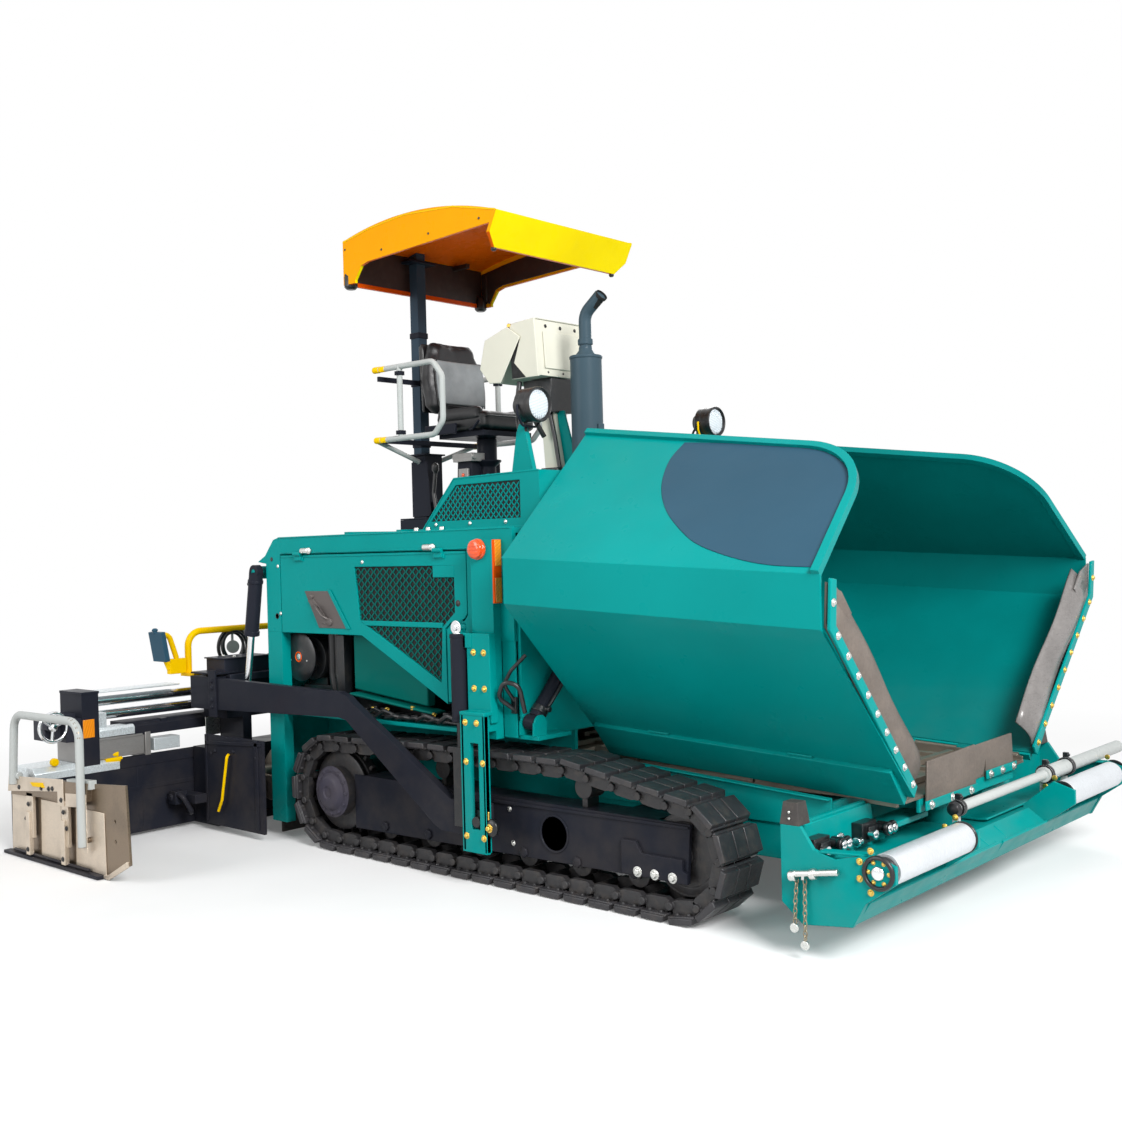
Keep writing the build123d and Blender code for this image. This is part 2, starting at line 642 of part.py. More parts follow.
def hood():
    """Engine hood: roof, rear and side frames, open below and at the doors."""
    outer = side_prism(HOOD_OUTLINE, -BODY_HALF, BODY_HALF)
    inner = side_prism(
        [
            (REAR_X + PANEL, HOOD_BASE - 1),
            (REAR_X + PANEL, 1575),
            (-1420, 1660),
            (BULKHEAD_X + 1, HOOD_TOP - PANEL),
            (BULKHEAD_X + 1, HOOD_BASE - 1),
        ],
        -BODY_HALF + PANEL,
        BODY_HALF - PANEL,
    )
    shell = outer - inner
    opening = side_prism(
        [
            (DOOR_REAR - DOOR_GAP, HOOD_BASE - 1),
            (DOOR_REAR - DOOR_GAP, DOOR_TOP + DOOR_GAP),
            (DOOR_FRONT + DOOR_GAP, DOOR_TOP + DOOR_GAP),
            (DOOR_FRONT + DOOR_GAP, HOOD_BASE - 1),
        ],
        -BODY_HALF - 1,
        BODY_HALF + 1,
    )
    shell -= opening
    shell += both(side_prism(FRONT_PANEL, -BODY_HALF, -BODY_HALF + PANEL))
    x, z = SIDE_HOLE_X, SIDE_HOLE_Z
    shell -= rod((x, -BODY_HALF - 1, z), (x, BODY_HALF + 1, z), SIDE_HOLE_R)
    for x in (-1090, -650):
        shell += slab(x - 20, x + 20, 50 - GRILLE_HALF, GRILLE_HALF - 50, HOOD_TOP - 6, HOOD_TOP + 20)
    return shell + screed_lift_brackets()


def hood_door():
    """Side door with a recessed grille field, hung from the seam under the roof."""
    door = side_prism(DOOR_OUTLINE, -BODY_HALF, -BODY_HALF + PANEL)
    door -= side_prism(GRILLE_FIELD, -BODY_HALF - 1, -BODY_HALF + GRILLE_RECESS)
    for x in (-1230, -100):
        door += rod((x, -DOOR_HINGE_Y, DOOR_HINGE_Z), (x + 60, -DOOR_HINGE_Y, DOOR_HINGE_Z), DOOR_HINGE_R)
        door += slab(x, x + 60, -DOOR_HINGE_Y, -BODY_HALF, 1560, 1590)
    return door


GRILLE_OUTLINE = [
    (-421, HOOD_TOP + SEAT_GAP),
    (-164, GRILLE_TOP),
    (BULKHEAD_X, GRILLE_TOP + 12),
    (BULKHEAD_X, HOOD_TOP + SEAT_GAP),
]


def grille_box():
    """Raised cooling hood ahead of the operator."""
    box = side_prism(GRILLE_OUTLINE, -GRILLE_HALF, GRILLE_HALF)
    inner = side_prism(
        [
            (-360, HOOD_TOP - 1),
            (-150, GRILLE_TOP - 20),
            (BULKHEAD_X - 20, GRILLE_TOP - 10),
            (BULKHEAD_X - 20, HOOD_TOP - 1),
        ],
        -GRILLE_HALF + 20,
        GRILLE_HALF - 20,
    )
    box -= inner
    field_outline = [(-340, 1745), (-150, 1925), (300, 1930), (300, 1745)]
    field = side_prism(field_outline, -GRILLE_HALF - 1, -GRILLE_HALF + 8)
    box -= both(field)
    return box


def engine():
    return slab(-500, 150, -330, 330, DECK_Z, 1380)


def tanks():
    """Fuel tank on the right, hydraulic cooler drum behind it, oil tank on the left."""
    out = TANK_OUT
    tank = slab(-925, -390, -out, -620, DECK_Z, 1140)
    drum = rod((-1250, -out - 40, 1010), (-1250, -700, 1010), 120)
    drum += slab(-1330, -1170, -out, -740, DECK_Z, 900)
    oil = slab(-1100, -390, 640, out, DECK_Z, 1140)
    return tank + drum + oil


def exhaust():
    """Muffler on the hood with its bent tail pipe."""
    x, y = 190, -300
    top = 2603
    muffler = rod((x, y, GRILLE_TOP + 9), (x, y, top), 84)
    bend = 80
    lean = radians(38)
    neck = top + 220
    tip = (x + 110, y, neck + 110 * tan(lean))
    pipe = tube_path([(x, y, top), (x, y, neck), tip], bend, 33)
    return muffler + pipe


def work_lamps():
    """Round lamps on brackets either side of the cooling hood."""
    y, z = -LAMP_Y, LAMP_Z
    lamp = rod((LAMP_FACE_X - 85, y, z), (LAMP_FACE_X, y, z), LAMP_R)
    lamp += rod((LAMP_FACE_X - 125, y, z), (LAMP_FACE_X - 85, y, z), 50)
    foot = GRILLE_TOP - 3
    outline = [(90, foot), (230, foot), (180, 2180), (180, z), (145, z), (130, 2180)]
    bracket = side_prism(outline, y - 12, y + 12)
    bracket -= side_prism(GRILLE_OUTLINE, y - 50, y + 50)
    return both(lamp + bracket)


def marker_lamps():
    """Orange marker lamp and reflector strip on each front column."""
    lamp = rod((255, -COLUMN_OUT - 25, 1596), (255, -COLUMN_OUT, 1596), 42)
    strip = slab(345, 357, -COLUMN_OUT, -BODY_HALF, 1340, 1640)
    return both(lamp + strip)


def mud_flaps():
    flap = slab(REAR_X - 6, REAR_X + 6, -BODY_HALF + 62, -FRAME_HALF, 10, 330)
    return both(flap)


# ---------------------------------------------------------------- tow points
def guide_columns():
    """Front columns with the slotted tow point guides and the levelling cylinders' brackets."""
    column = slab(200, 345, -COLUMN_OUT, -BODY_HALF, 700, 1640)
    guide = slab(200, 360, -GUIDE_OUT, -GUIDE_IN, 175, 820)
    guide -= slab(TOW_X - SLOT_HALF, TOW_X + SLOT_HALF, -GUIDE_OUT - 1, -GUIDE_IN + 1, TOW_Z - 35, 690)
    spacer = slab(200, 345, -GUIDE_IN, -COLUMN_OUT, 740, 820)
    return both(column + guide + spacer)


def levelling_barrels():
    """Upright cylinders beside the columns that raise the tow points."""
    barrel = rod((LEVEL_X, -LEVEL_Y, 775), (LEVEL_X, -LEVEL_Y, 1195), LEVEL_BARREL_R)
    barrel += slab(LEVEL_X, 200, -LEVEL_Y - 12, -COLUMN_OUT + 35, 1130, 1190)
    barrel -= rod((LEVEL_X, -LEVEL_Y, 770), (LEVEL_X, -LEVEL_Y, 1120), LEVEL_ROD_R + PIN_FIT)
    return both(barrel)


def tow_points():
    """Sliding links with the tow pins, and the levelling rods above them."""
    piston = rod((LEVEL_X, -LEVEL_Y, 600), (LEVEL_X, -LEVEL_Y, 1000), LEVEL_ROD_R)
    link = side_prism(
        [
            (LEVEL_X - 30, 655),
            (LEVEL_X + 30, 655),
            (LEVEL_X + 50, 600),
            (LEVEL_X + 50, 380),
            (TOW_X + 40, 365),
            (TOW_X + 40, 278),
            (LEVEL_X - 30, 278),
        ],
        -ARM_OUT - 12,
        -ARM_OUT - 3,
    )
    link += slab(LEVEL_X - 25, LEVEL_X + 25, -ARM_OUT - 12, -LEVEL_Y + 22, 600, 655)
    pin = rod((TOW_X, -GUIDE_OUT, TOW_Z), (TOW_X, -ARM_IN + 4, TOW_Z), TOW_PIN_R)
    return both(piston + link + pin)


# ---------------------------------------------------------------- screed
def tow_arms():
    """Side arms from the tow pins back to the screed."""
    outline = [
        (-1905, 702), (-1905, 886), (-760, 868), (-690, 850), (-640, 815),
        (75, 400), (325, 400), (325, 240), (10, 240), (-40, 262), (-700, 725), (-760, 735),
    ]
    arm = side_prism(outline, -ARM_OUT, -ARM_IN)
    arm -= rod((TOW_X, -ARM_OUT - 1, TOW_Z), (TOW_X, -ARM_IN + 1, TOW_Z), TOW_PIN_R + PIN_FIT)
    return both(arm)


def screed_body():
    """Basic screed: heated box with its upper crossbeam, side shields and walkway brackets."""
    x0 = SCREED_FRONT - SCREED_DEPTH
    box = slab(x0, SCREED_FRONT, -SCREED_HALF, SCREED_HALF, 20, SCREED_TOP)
    half = SCREED_BEAM_HALF
    beam = slab(x0, SCREED_FRONT, -half, half, 640, 900)
    web = slab(x0, SCREED_FRONT, -half + 110, -half + 170, SCREED_TOP, 640)
    joints = slab(x0, SCREED_FRONT, -ARM_OUT, -half + 70, 700, 890)
    side = SCREED_HALF + 18
    shield = slab(SCREED_FRONT - 55, -1400, -side - 18, -side, 40, 560)
    shield += slab(SCREED_FRONT - 55, SCREED_FRONT, -side, -SCREED_HALF + 10, 60, 540)
    sleeve_out, sleeve_in = EXT_SLEEVE
    sleeve = slab(TUBE_X - 50, x0, -sleeve_out, -sleeve_in, 655, 830)
    for z in TUBE_ZS:
        sleeve -= rod((TUBE_X, -sleeve_out - 1, z), (TUBE_X, -sleeve_in + 1, z), TUBE_R + PIN_FIT)
    return box + beam + both(web + joints + shield + sleeve)


def screed_rail():
    """Guard rail on two shelves behind the crossbeam."""
    x, y, top = RAIL_X, RAIL_HALF, 1145
    rail = tube_path([(x, -y, RAIL_FOOT), (x, -y, top), (x, y, top), (x, y, RAIL_FOOT)], 90, 20)
    shelf = slab(x - 40, SCREED_FRONT - SCREED_DEPTH, -y - 30, -y + 90, RAIL_FOOT - 20, RAIL_FOOT)
    return rail + both(shelf)


def screed_extension():
    """Sliding screed box behind the basic one, with its end box above."""
    x1 = SCREED_FRONT - SCREED_DEPTH - EXT_GAP
    x0 = x1 - EXT_DEPTH
    out, inward = EXT_TOWER
    box = slab(x0, x1, -EXT_OUT + END_PLATE, -EXT_IN, 20, EXT_TOP)
    return box + slab(x0, x1, -out, -inward, EXT_TOP, EXT_TOWER_TOP)


def extension_tubes():
    """Chrome guide tubes of one extension, from its end box through the sleeve."""
    start = -EXT_TOWER[1]
    end = -EXT_SLEEVE[1] + 60
    tubes = rod((TUBE_X, start, TUBE_ZS[0]), (TUBE_X, end, TUBE_ZS[0]), TUBE_R)
    return tubes + rod((TUBE_X, start, TUBE_ZS[1]), (TUBE_X, end, TUBE_ZS[1]), TUBE_R)


END_PLATE_OUTLINE = [
    (-2348, 10),
    (-1347, 10),
    (-1142, 100),
    (-1167, 487),
    (-2264, 406),
]


def end_plate():
    """Side plate with its sole runner, top clamp rail and hand rail."""
    plate = side_prism(END_PLATE_OUTLINE, -EXT_OUT, -EXT_OUT + END_PLATE)
    for x in SENSOR_HOLE_XS:
        for z in SENSOR_HOLE_ZS:
            plate -= rod((x, -EXT_OUT - 1, z), (x, -EXT_OUT + END_PLATE + 1, z), SENSOR_HOLE_R)
    plate += slab(-2380, -1380, -EXT_OUT - 40, -EXT_OUT + END_PLATE, 4, 18)
    # clamp rail that stands out along the top edge
    rail = side_prism([(-2310, 330), (-2290, 425), (-1480, 470), (-1500, 375)], -EXT_OUT - 30, -EXT_OUT)
    plate += rail
    y = -EXT_OUT - 50
    plate += tube_path([(-2241, y, 395), (-2205, y, 775), (-1510, y, 779), (-1510, y, 150)], 90, HAND_RAIL_R)
    for x, z in ((-2238, 415), (-1510, 400), (-1510, 180)):
        plate += rod((x, y, z), (x, -EXT_OUT + 2, z), 14)
    return plate


def auger():
    """Shaft with a helical flight, spreading mix to one side."""
    start, end = -1130, -CASE_HALF - SEAT_GAP
    shaft = rod((AUGER_X, start, AUGER_Z), (AUGER_X, end, AUGER_Z), AUGER_SHAFT_R)
    # the flight's root lies inside the shaft
    root = AUGER_SHAFT_R - 5
    path = Helix(pitch=AUGER_PITCH, height=end - start - 90, radius=root)
    blade = Plane(origin=path @ 0, x_dir=(1, 0, 0), z_dir=path % 0)
    blade *= Pos((AUGER_R - root) / 2, 0, 0) * Rectangle(AUGER_R - root, FLIGHT)
    flight = sweep(blade, path=path, is_frenet=True)
    return shaft + Pos(AUGER_X, start + 20, AUGER_Z) * Rot(-90, 0, 0) * flight


def auger_carrier():
    """Gear case between the augers, hung from the rear wall."""
    half = CASE_HALF
    carrier = slab(AUGER_X - 60, AUGER_X + 60, -half, half, AUGER_Z - 90, AUGER_Z + 120)
    carrier += slab(AUGER_X - 20, REAR_X + 6, -half, half, AUGER_Z + 60, AUGER_Z + 120)
    carrier += slab(REAR_X - 24, REAR_X + 6, -half, half, AUGER_Z + 60, DECK_Z + 60)
    return carrier


# screed lift cylinders: hung from the rear posts, eye beside the tow arm
SCREED_LIFT_TOP = (-1580, 1500)
SCREED_LIFT_EYE = (-1700, 800)
SCREED_LIFT_Y = BODY_HALF + 16
SCREED_BARREL_R = 40
SCREED_ROD_R = 20
SCREED_BARREL_LONG = 370
SCREED_PIN_R = 15


def screed_lift_point(distance):
    """Point on the cylinder's axis, so far below its top pin."""
    top, eye = SCREED_LIFT_TOP, SCREED_LIFT_EYE
    reach = hypot(eye[0] - top[0], eye[1] - top[1])
    share = distance / reach
    return (top[0] + (eye[0] - top[0]) * share, -SCREED_LIFT_Y, top[1] + (eye[1] - top[1]) * share)


def screed_lift_barrel():
    barrel = rod(screed_lift_point(0), screed_lift_point(SCREED_BARREL_LONG), SCREED_BARREL_R)
    top = screed_lift_point(0)
    barrel += rod((top[0], top[1] - 20, top[2]), (top[0], top[1] + 20, top[2]), SCREED_BARREL_R)
    barrel -= rod((top[0], top[1] - 60, top[2]), (top[0], top[1] + 60, top[2]), SCREED_PIN_R + PIN_FIT)
    barrel -= rod(screed_lift_point(42), screed_lift_point(SCREED_BARREL_LONG + 5), SCREED_ROD_R + PIN_FIT)
    return barrel


def screed_lift_rod():
    top, foot = SCREED_LIFT_TOP, SCREED_LIFT_EYE
    eye = screed_lift_point(hypot(foot[0] - top[0], foot[1] - top[1]))
    piston = rod(screed_lift_point(330), eye, SCREED_ROD_R)
    piston += rod((eye[0], eye[1] - 18, eye[2]), (eye[0], eye[1] + 18, eye[2]), 32)
    return piston


def screed_lift_brackets():
    """Arms from the rear posts with the pins the cylinders hang from."""
    top = SCREED_LIFT_TOP
    y = -POST_IN
    arm = slab(top[0] - 45, REAR_X, y - 26, y + 2, top[1] - 40, top[1] + 32)
    arm += rod((top[0], -SCREED_LIFT_Y - 22, top[1]), (top[0], y - 14, top[1]), SCREED_PIN_R)
    return both(arm)


# ---------------------------------------------------------------- operator's station
def station_frame():
    """Carriage across the hood, rear column and seat pedestal."""
    frame = slab(-1180, -560, -420, 420, HOOD_TOP + 20 + SEAT_GAP, 1780)
    frame += slab(-1450, -1330, -70, 70, 1800, 2190)
    frame += slab(-1340, -1100, -50, 50, 1800, 1900)
    frame += slab(-1150, -1060, -50, 50, 1780, 1900)
    frame += rod((-860, 0, 1780), (-860, 0, SEAT_BASE - 20), 45)
    frame += slab(-1060, -680, -200, 200, SEAT_BASE - 30, SEAT_BASE)
    return frame


CANOPY_HALF = 580
CANOPY_REAR = -1450
CANOPY_FRONT = -170
CANOPY_FOOT = 3190
CANOPY_REAR_TOP = CANOPY_FOOT + 260
CANOPY_CROWN = CANOPY_FOOT + 325
CANOPY_FRONT_TOP = CANOPY_FOOT + 210
ROOF_WALL = 18
VISOR_Z = CANOPY_FOOT + 32
MAST_FOOT = 2190


def canopy_body(wall):
    """Solid under the roof's outer skin, drawn in by the wall; the inner one runs on downwards."""
    x0, x1 = CANOPY_REAR + wall, CANOPY_FRONT - 1.2 * wall
    foot = CANOPY_FOOT if wall == 0 else CANOPY_FOOT - 90
    half = CANOPY_HALF - wall
    rear_top = (x0, CANOPY_REAR_TOP - wall)
    crown = ((CANOPY_REAR + CANOPY_FRONT) / 2 - 90, CANOPY_CROWN - wall)
    front_top = (x1, CANOPY_FRONT_TOP - wall / 2)
    front_foot = (CANOPY_FRONT - 104 - 3.7 * wall, foot)
    side = Polyline((x0, foot), rear_top)
    arch = ThreePointArc(rear_top, crown, front_top)
    rest = Polyline(front_top, front_foot, (x0, foot))
    outline = make_face(Wire([*side.edges(), *arch.edges(), *rest.edges()]))
    stand = Plane(origin=(0, half, 0), x_dir=(1, 0, 0), z_dir=(0, -1, 0))
    return extrude(stand * outline, amount=2 * half)


def canopy_mast():
    """Mast behind the seat, up to the roof."""
    x = CANOPY_REAR
    mast = slab(x + 22, x + 92, -75, -5, MAST_FOOT, CANOPY_CROWN)
    return mast & canopy_room()


def canopy_room():
    """Everything under the roof's inner skin."""
    x = CANOPY_REAR
    return canopy_body(ROOF_WALL) + slab(x + 20, x + 150, -100, 100, MAST_FOOT - 90, CANOPY_FOOT + 10)


def canopy():
    """Moulded roof with deep side valances and a sloping visor."""
    half = CANOPY_HALF
    rear, front, foot = CANOPY_REAR, CANOPY_FRONT, CANOPY_FOOT
    shell = canopy_body(0) - canopy_body(ROOF_WALL)
    valance_edge = [
        (rear + 107, foot - 40),
        (rear + 107, foot + 18),
        (rear + 166, foot + 92),
        (rear + 222, foot + 107),
        (front - 55, foot + 148),
        (front - 148, foot - 40),
    ]
    shell -= side_prism(valance_edge, -half - 1, half + 1)
    # visor: cut level at its lower edge, corners taken off
    shell -= slab(front - 230, front + 70, -half - 1, half + 1, foot - 90, VISOR_Z)
    corner = [(-half - 1, VISOR_Z - 1), (-half - 1, VISOR_Z + 70), (-half + 70, VISOR_Z - 1)]
    shell -= both(cross_prism(corner, front - 230, front - 35))
    return shell


SEAT_BASE = 2290
SEAT_HALF = 250
SEAT_BACK_HIGH = 580


def seat():
    """Cushion, back rest and lumbar pad."""
    z = SEAT_BASE
    cushion = slab(-1090, -640, -SEAT_HALF, SEAT_HALF, z, z + 130)
    outline = [(-1190, z + 90), (-1070, z + 130), (-1110, z + SEAT_BACK_HIGH), (-1200, z + SEAT_BACK_HIGH)]
    back = side_prism(outline, 8 - SEAT_HALF, SEAT_HALF - 8)
    return cushion + back


GUARD_Y = 415


def seat_guard():
    """Bent tube guards either side of the seat, tied to the column."""
    y = -GUARD_Y
    top, bottom = 2690, 2267
    corners = [
        (-1390, y, top),
        (-870, y, top),
        (-795, y, top - 90),
        (-795, y, bottom + 75),
        (-870, y, bottom),
        (-1390, y, bottom),
    ]
    loop = tube_path(corners, 60, 17)
    ties = rod((-1160, y, bottom), (-1160, y, top), 17)
    ties += rod((-1385, y, bottom), (-1385, -70, 2150), 15) - slab(-1450, -1330, -70, 70, 1800, 2190)
    return both(loop + ties)


CONSOLE_HINGE = (-238, 2806)
CONSOLE_HINGE_R = 8.7
CONSOLE_Y = -220
CONSOLE_HALF = 210


def console():
    """Leaning post and control housing ahead of the seat."""
    post = side_prism([(-140, 1850), (-40, 1850), (-90, 2530), (-190, 2530)], CONSOLE_Y - 40, CONSOLE_Y + 40)
    post -= side_prism(GRILLE_OUTLINE, -500, 500)
    x, z = CONSOLE_HINGE
    housing_outline = [(-215, 2520), (x + 9, z), (-60, z + 14), (-40, 2520)]
    housing = side_prism(housing_outline, CONSOLE_Y - CONSOLE_HALF, CONSOLE_Y + CONSOLE_HALF)
    return post + housing


def console_cover():
    """Hinged cover and sun shade on the operator's side of the housing."""
    start, end = CONSOLE_Y - CONSOLE_HALF + 10, CONSOLE_Y + CONSOLE_HALF - 10
    cover = side_prism([CONSOLE_HINGE, (-415, 2745), (-455, 2590), (-380, 2510)], start, end)
    x, z = CONSOLE_HINGE
    cover += rod((x, start, z), (x, end, z), CONSOLE_HINGE_R)
    return cover


# ---------------------------------------------------------------- all nodes
def build():
    nodes = {
        "chassis": chassis(),
        "deck": deck() + wing_cylinder_brackets(),
        "rear_frame": rear_frame(),
        "track_frames": track_frames(),
        "running_gear": running_gear(),
        "hopper_floor": hopper_floor(),
        "hopper_apron": hopper_apron(),
        "conveyors": conveyors(),
        "engine": engine(),
        "tanks": tanks(),
        "hood": hood(),
        "grille_box": grille_box(),
        "exhaust": exhaust(),
        "work_lamps": work_lamps(),
        "marker_lamps": marker_lamps(),
        "mud_flaps": mud_flaps(),
        "guide_columns": guide_columns(),
        "levelling_barrels": levelling_barrels(),
        "auger_carrier": auger_carrier(),
        "tow_points": tow_points(),
        "tow_arms": tow_arms(),
        "screed_body": screed_body(),
        "screed_rail": screed_rail(),
        "push_beam": push_beam(),
        "beam_stops": beam_stops(),
        "sight_bar": sight_bar(),
        "station_frame": station_frame(),
        "canopy_mast": canopy_mast(),
        "canopy": canopy(),
        "seat": seat(),
        "seat_guard": seat_guard(),
        "console": console(),
        "console_cover": console_cover(),
    }
    paired = {
        "track": track(),
        "wing": wing(),
        "wing_skirt": wing_skirt(),
        "wing_barrel": wing_barrel(),
        "wing_rod": wing_rod(),
        "hood_door": hood_door(),
        "push_roller": push_roller(),
        "screed_lift_barrel": screed_lift_barrel(),
        "screed_lift_rod": screed_lift_rod(),
        "screed_extension": screed_extension(),
        "extension_tubes": extension_tubes(),
        "end_plate": end_plate(),
        "auger": auger(),
    }
    for name, right in paired.items():
        for side, shape in split_sides(right).items():
            nodes[f"{name}_{side}"] = shape
    return nodes


os.makedirs("parts", exist_ok=True)
for node, shape in build().items():
    export_step(shape, f"parts/{node}.step")
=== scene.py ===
"""Looks of a tracked asphalt paver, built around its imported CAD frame. Metres, in the row frame."""

import json
import math
import random

import bmesh
import bpy
from mathutils import Matrix, Vector

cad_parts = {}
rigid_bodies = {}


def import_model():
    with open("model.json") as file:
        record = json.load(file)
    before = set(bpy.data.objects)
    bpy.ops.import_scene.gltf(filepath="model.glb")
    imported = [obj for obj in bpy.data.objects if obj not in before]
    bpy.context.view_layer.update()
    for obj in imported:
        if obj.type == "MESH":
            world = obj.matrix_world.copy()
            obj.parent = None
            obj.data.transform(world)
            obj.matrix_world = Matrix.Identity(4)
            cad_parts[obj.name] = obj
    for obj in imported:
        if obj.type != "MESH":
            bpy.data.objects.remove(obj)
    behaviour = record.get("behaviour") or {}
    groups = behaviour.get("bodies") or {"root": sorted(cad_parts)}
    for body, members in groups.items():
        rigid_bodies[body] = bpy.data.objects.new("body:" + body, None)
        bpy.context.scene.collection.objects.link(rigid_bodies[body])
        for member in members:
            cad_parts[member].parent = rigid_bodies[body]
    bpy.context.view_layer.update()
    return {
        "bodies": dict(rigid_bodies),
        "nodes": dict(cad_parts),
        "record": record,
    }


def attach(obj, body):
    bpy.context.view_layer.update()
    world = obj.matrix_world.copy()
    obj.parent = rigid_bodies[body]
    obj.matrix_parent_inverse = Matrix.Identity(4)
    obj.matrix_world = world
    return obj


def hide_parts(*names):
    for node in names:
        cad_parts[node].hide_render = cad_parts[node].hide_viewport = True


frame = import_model()
NODES = frame["nodes"]
SIDES = (("right", False), ("left", True))


# ---------------------------------------------------------------- materials
def srgb(r, g, b):
    """Linear colour from 0-255 display values."""
    def linear(v):
        v /= 255
        return v / 12.92 if v <= 0.04045 else ((v + 0.055) / 1.055) ** 2.4

    return (linear(r), linear(g), linear(b), 1)


def tint(color, share):
    """The colour made lighter or darker."""
    return tuple(min(1, c * share) for c in color[:3]) + (1,)


MATERIALS = {}
WHITE = (1, 1, 1, 1)
# how pale worn edges are, and the gloss of paint
WORN, PAINT_COAT, PAINT_SPECULAR = 1.7, 0.04, 0.06
DUST_ON_PAINT, DUST_ON_RUBBER, STAIN = (120, 108, 92), (112, 100, 88), (90, 80, 70)


class Shader:
    """Small helper that wires one material's nodes, and keeps it under its name."""

    def __init__(self, name):
        self.material = MATERIALS[name] = bpy.data.materials.new(name)
        self.material.use_nodes = True
        self.nodes = self.material.node_tree.nodes
        self.links = self.material.node_tree.links
        self.surface = self.nodes["Principled BSDF"]
        self.place = self.add("ShaderNodeTexCoord").outputs["Object"]

    def add(self, kind, **values):
        node = self.nodes.new(kind)
        for key, value in values.items():
            if hasattr(node, key):
                setattr(node, key, value)
            else:
                node.inputs[key.replace("_", " ")].default_value = value
        return node

    def link(self, source, node, socket):
        self.links.new(source, node.inputs[socket])

    def noise(self, scale, detail, rough=0.55, stretch=None):
        where = self.place
        if stretch:
            mapping = self.add("ShaderNodeMapping")
            mapping.inputs["Scale"].default_value = stretch
            self.link(where, mapping, "Vector")
            where = mapping.outputs["Vector"]
        node = self.add("ShaderNodeTexNoise", Scale=scale, Detail=detail, Roughness=rough)
        self.link(where, node, "Vector")
        return node.outputs["Fac"]

    def spread(self, source, low, high, out_low=0.0, out_high=1.0):
        node = self.add("ShaderNodeMapRange")
        node.inputs["From Min"].default_value = low
        node.inputs["From Max"].default_value = high
        node.inputs["To Min"].default_value = out_low
        node.inputs["To Max"].default_value = out_high
        self.link(source, node, "Value")
        return node.outputs["Result"]

    def times(self, a, b):
        node = self.add("ShaderNodeMath", operation="MULTIPLY")
        self.link(a, node, 0)
        if isinstance(b, (int, float)):
            node.inputs[1].default_value = b
        else:
            self.link(b, node, 1)
        return node.outputs[0]

    def mix(self, factor, a, b):
        node = self.add("ShaderNodeMix", data_type="RGBA")
        self.link(factor, node, 0)
        for socket, value in ((6, a), (7, b)):
            if isinstance(value, tuple):
                node.inputs[socket].default_value = value
            else:
                self.link(value, node, socket)
        return node.outputs[2]

    def edges(self, radius):
        """1 on rounded-over edges and 0 on flats, and the rounded normal."""
        bevel = self.add("ShaderNodeBevel", samples=4, Radius=radius)
        face = self.add("ShaderNodeNewGeometry").outputs["Normal"]
        dot = self.add("ShaderNodeVectorMath", operation="DOT_PRODUCT")
        self.link(bevel.outputs["Normal"], dot, 0)
        self.link(face, dot, 1)
        return self.spread(dot.outputs["Value"], 0.995, 0.9), bevel.outputs["Normal"]

    def bump(self, height, distance, normal, strength):
        node = self.add("ShaderNodeBump", Distance=distance, Strength=strength)
        self.link(height, node, "Height")
        if normal is not None:
            self.link(normal, node, "Normal")
        self.link(node.outputs["Normal"], self.surface, "Normal")

    def dirt_low(self, top, depth):
        """Share of dust that rises from the ground."""
        split = self.add("ShaderNodeSeparateXYZ")
        self.link(self.place, split, "Vector")
        low = self.spread(split.outputs["Z"], top, top - depth)
        return self.times(low, self.spread(self.noise(6, 6), 0.4, 0.65))


def paint(name, color, rough=0.32, edge=0.35, dust=0.1, turned=()):
    """Sprayed enamel: slight tone drift, orange peel, paler edges, dust low down.

    turned lists other colours, each with the direction of the faces that have it; these are painted light
    and shade, which make faces lighter or darker by the way they look.
    """
    s = Shader(name)
    drift = s.spread(s.noise(1.3, 4), 0.3, 0.7)
    tone = s.mix(drift, tint(color, 0.92), tint(color, 1.06))
    # painted light and shade: faces turned the given way take the other colour
    for other, way in turned:
        dot = s.add("ShaderNodeVectorMath", operation="DOT_PRODUCT")
        s.link(s.add("ShaderNodeTexCoord").outputs["Normal"], dot, 0)
        dot.inputs[1].default_value = way
        tone = s.mix(s.spread(dot.outputs["Value"], 0.02, 0.3), tone,
                     s.mix(drift, tint(other, 0.85), tint(other, 1.1)))
    rim, rounded = s.edges(0.005)
    chips = s.times(rim, s.spread(s.noise(28, 4), 0.45, 0.75, 0.1, 1))
    tone = s.mix(s.times(chips, edge), tone, tint(color, WORN))
    tone = s.mix(s.times(s.dirt_low(0.9, 0.9), dust), tone, srgb(*DUST_ON_PAINT))
    s.link(tone, s.surface, "Base Color")
    s.link(s.spread(s.noise(9, 5), 0.3, 0.7, rough * 0.8, rough * 1.25), s.surface, "Roughness")
    s.surface.inputs["Coat Weight"].default_value = PAINT_COAT
    s.surface.inputs["Specular IOR Level"].default_value = PAINT_SPECULAR
    s.bump(s.noise(420, 2), 0.0004, rounded, 0.25)


def metal(name, color, rough, brushed=(1, 1, 14), *, stained, metallic=1.0):
    """Bare metal: brushed grain, stains and bright edges."""
    s = Shader(name)
    grain = s.noise(60, 5, 0.7, brushed)
    tone = s.mix(s.spread(grain, 0.35, 0.65), tint(color, 0.86), tint(color, 1.1))
    patches = s.times(s.spread(s.noise(5, 6), 0.48, 0.72), stained)
    tone = s.mix(patches, tone, srgb(*STAIN))
    rim, rounded = s.edges(0.004)
    tone = s.mix(s.times(rim, 0.5), tone, tint(color, 1.35))
    s.link(tone, s.surface, "Base Color")
    s.link(s.spread(grain, 0.3, 0.7, rough * 0.75, rough * 1.4), s.surface, "Roughness")
    s.surface.inputs["Metallic"].default_value = metallic
    s.bump(grain, 0.0006, rounded, 0.3)


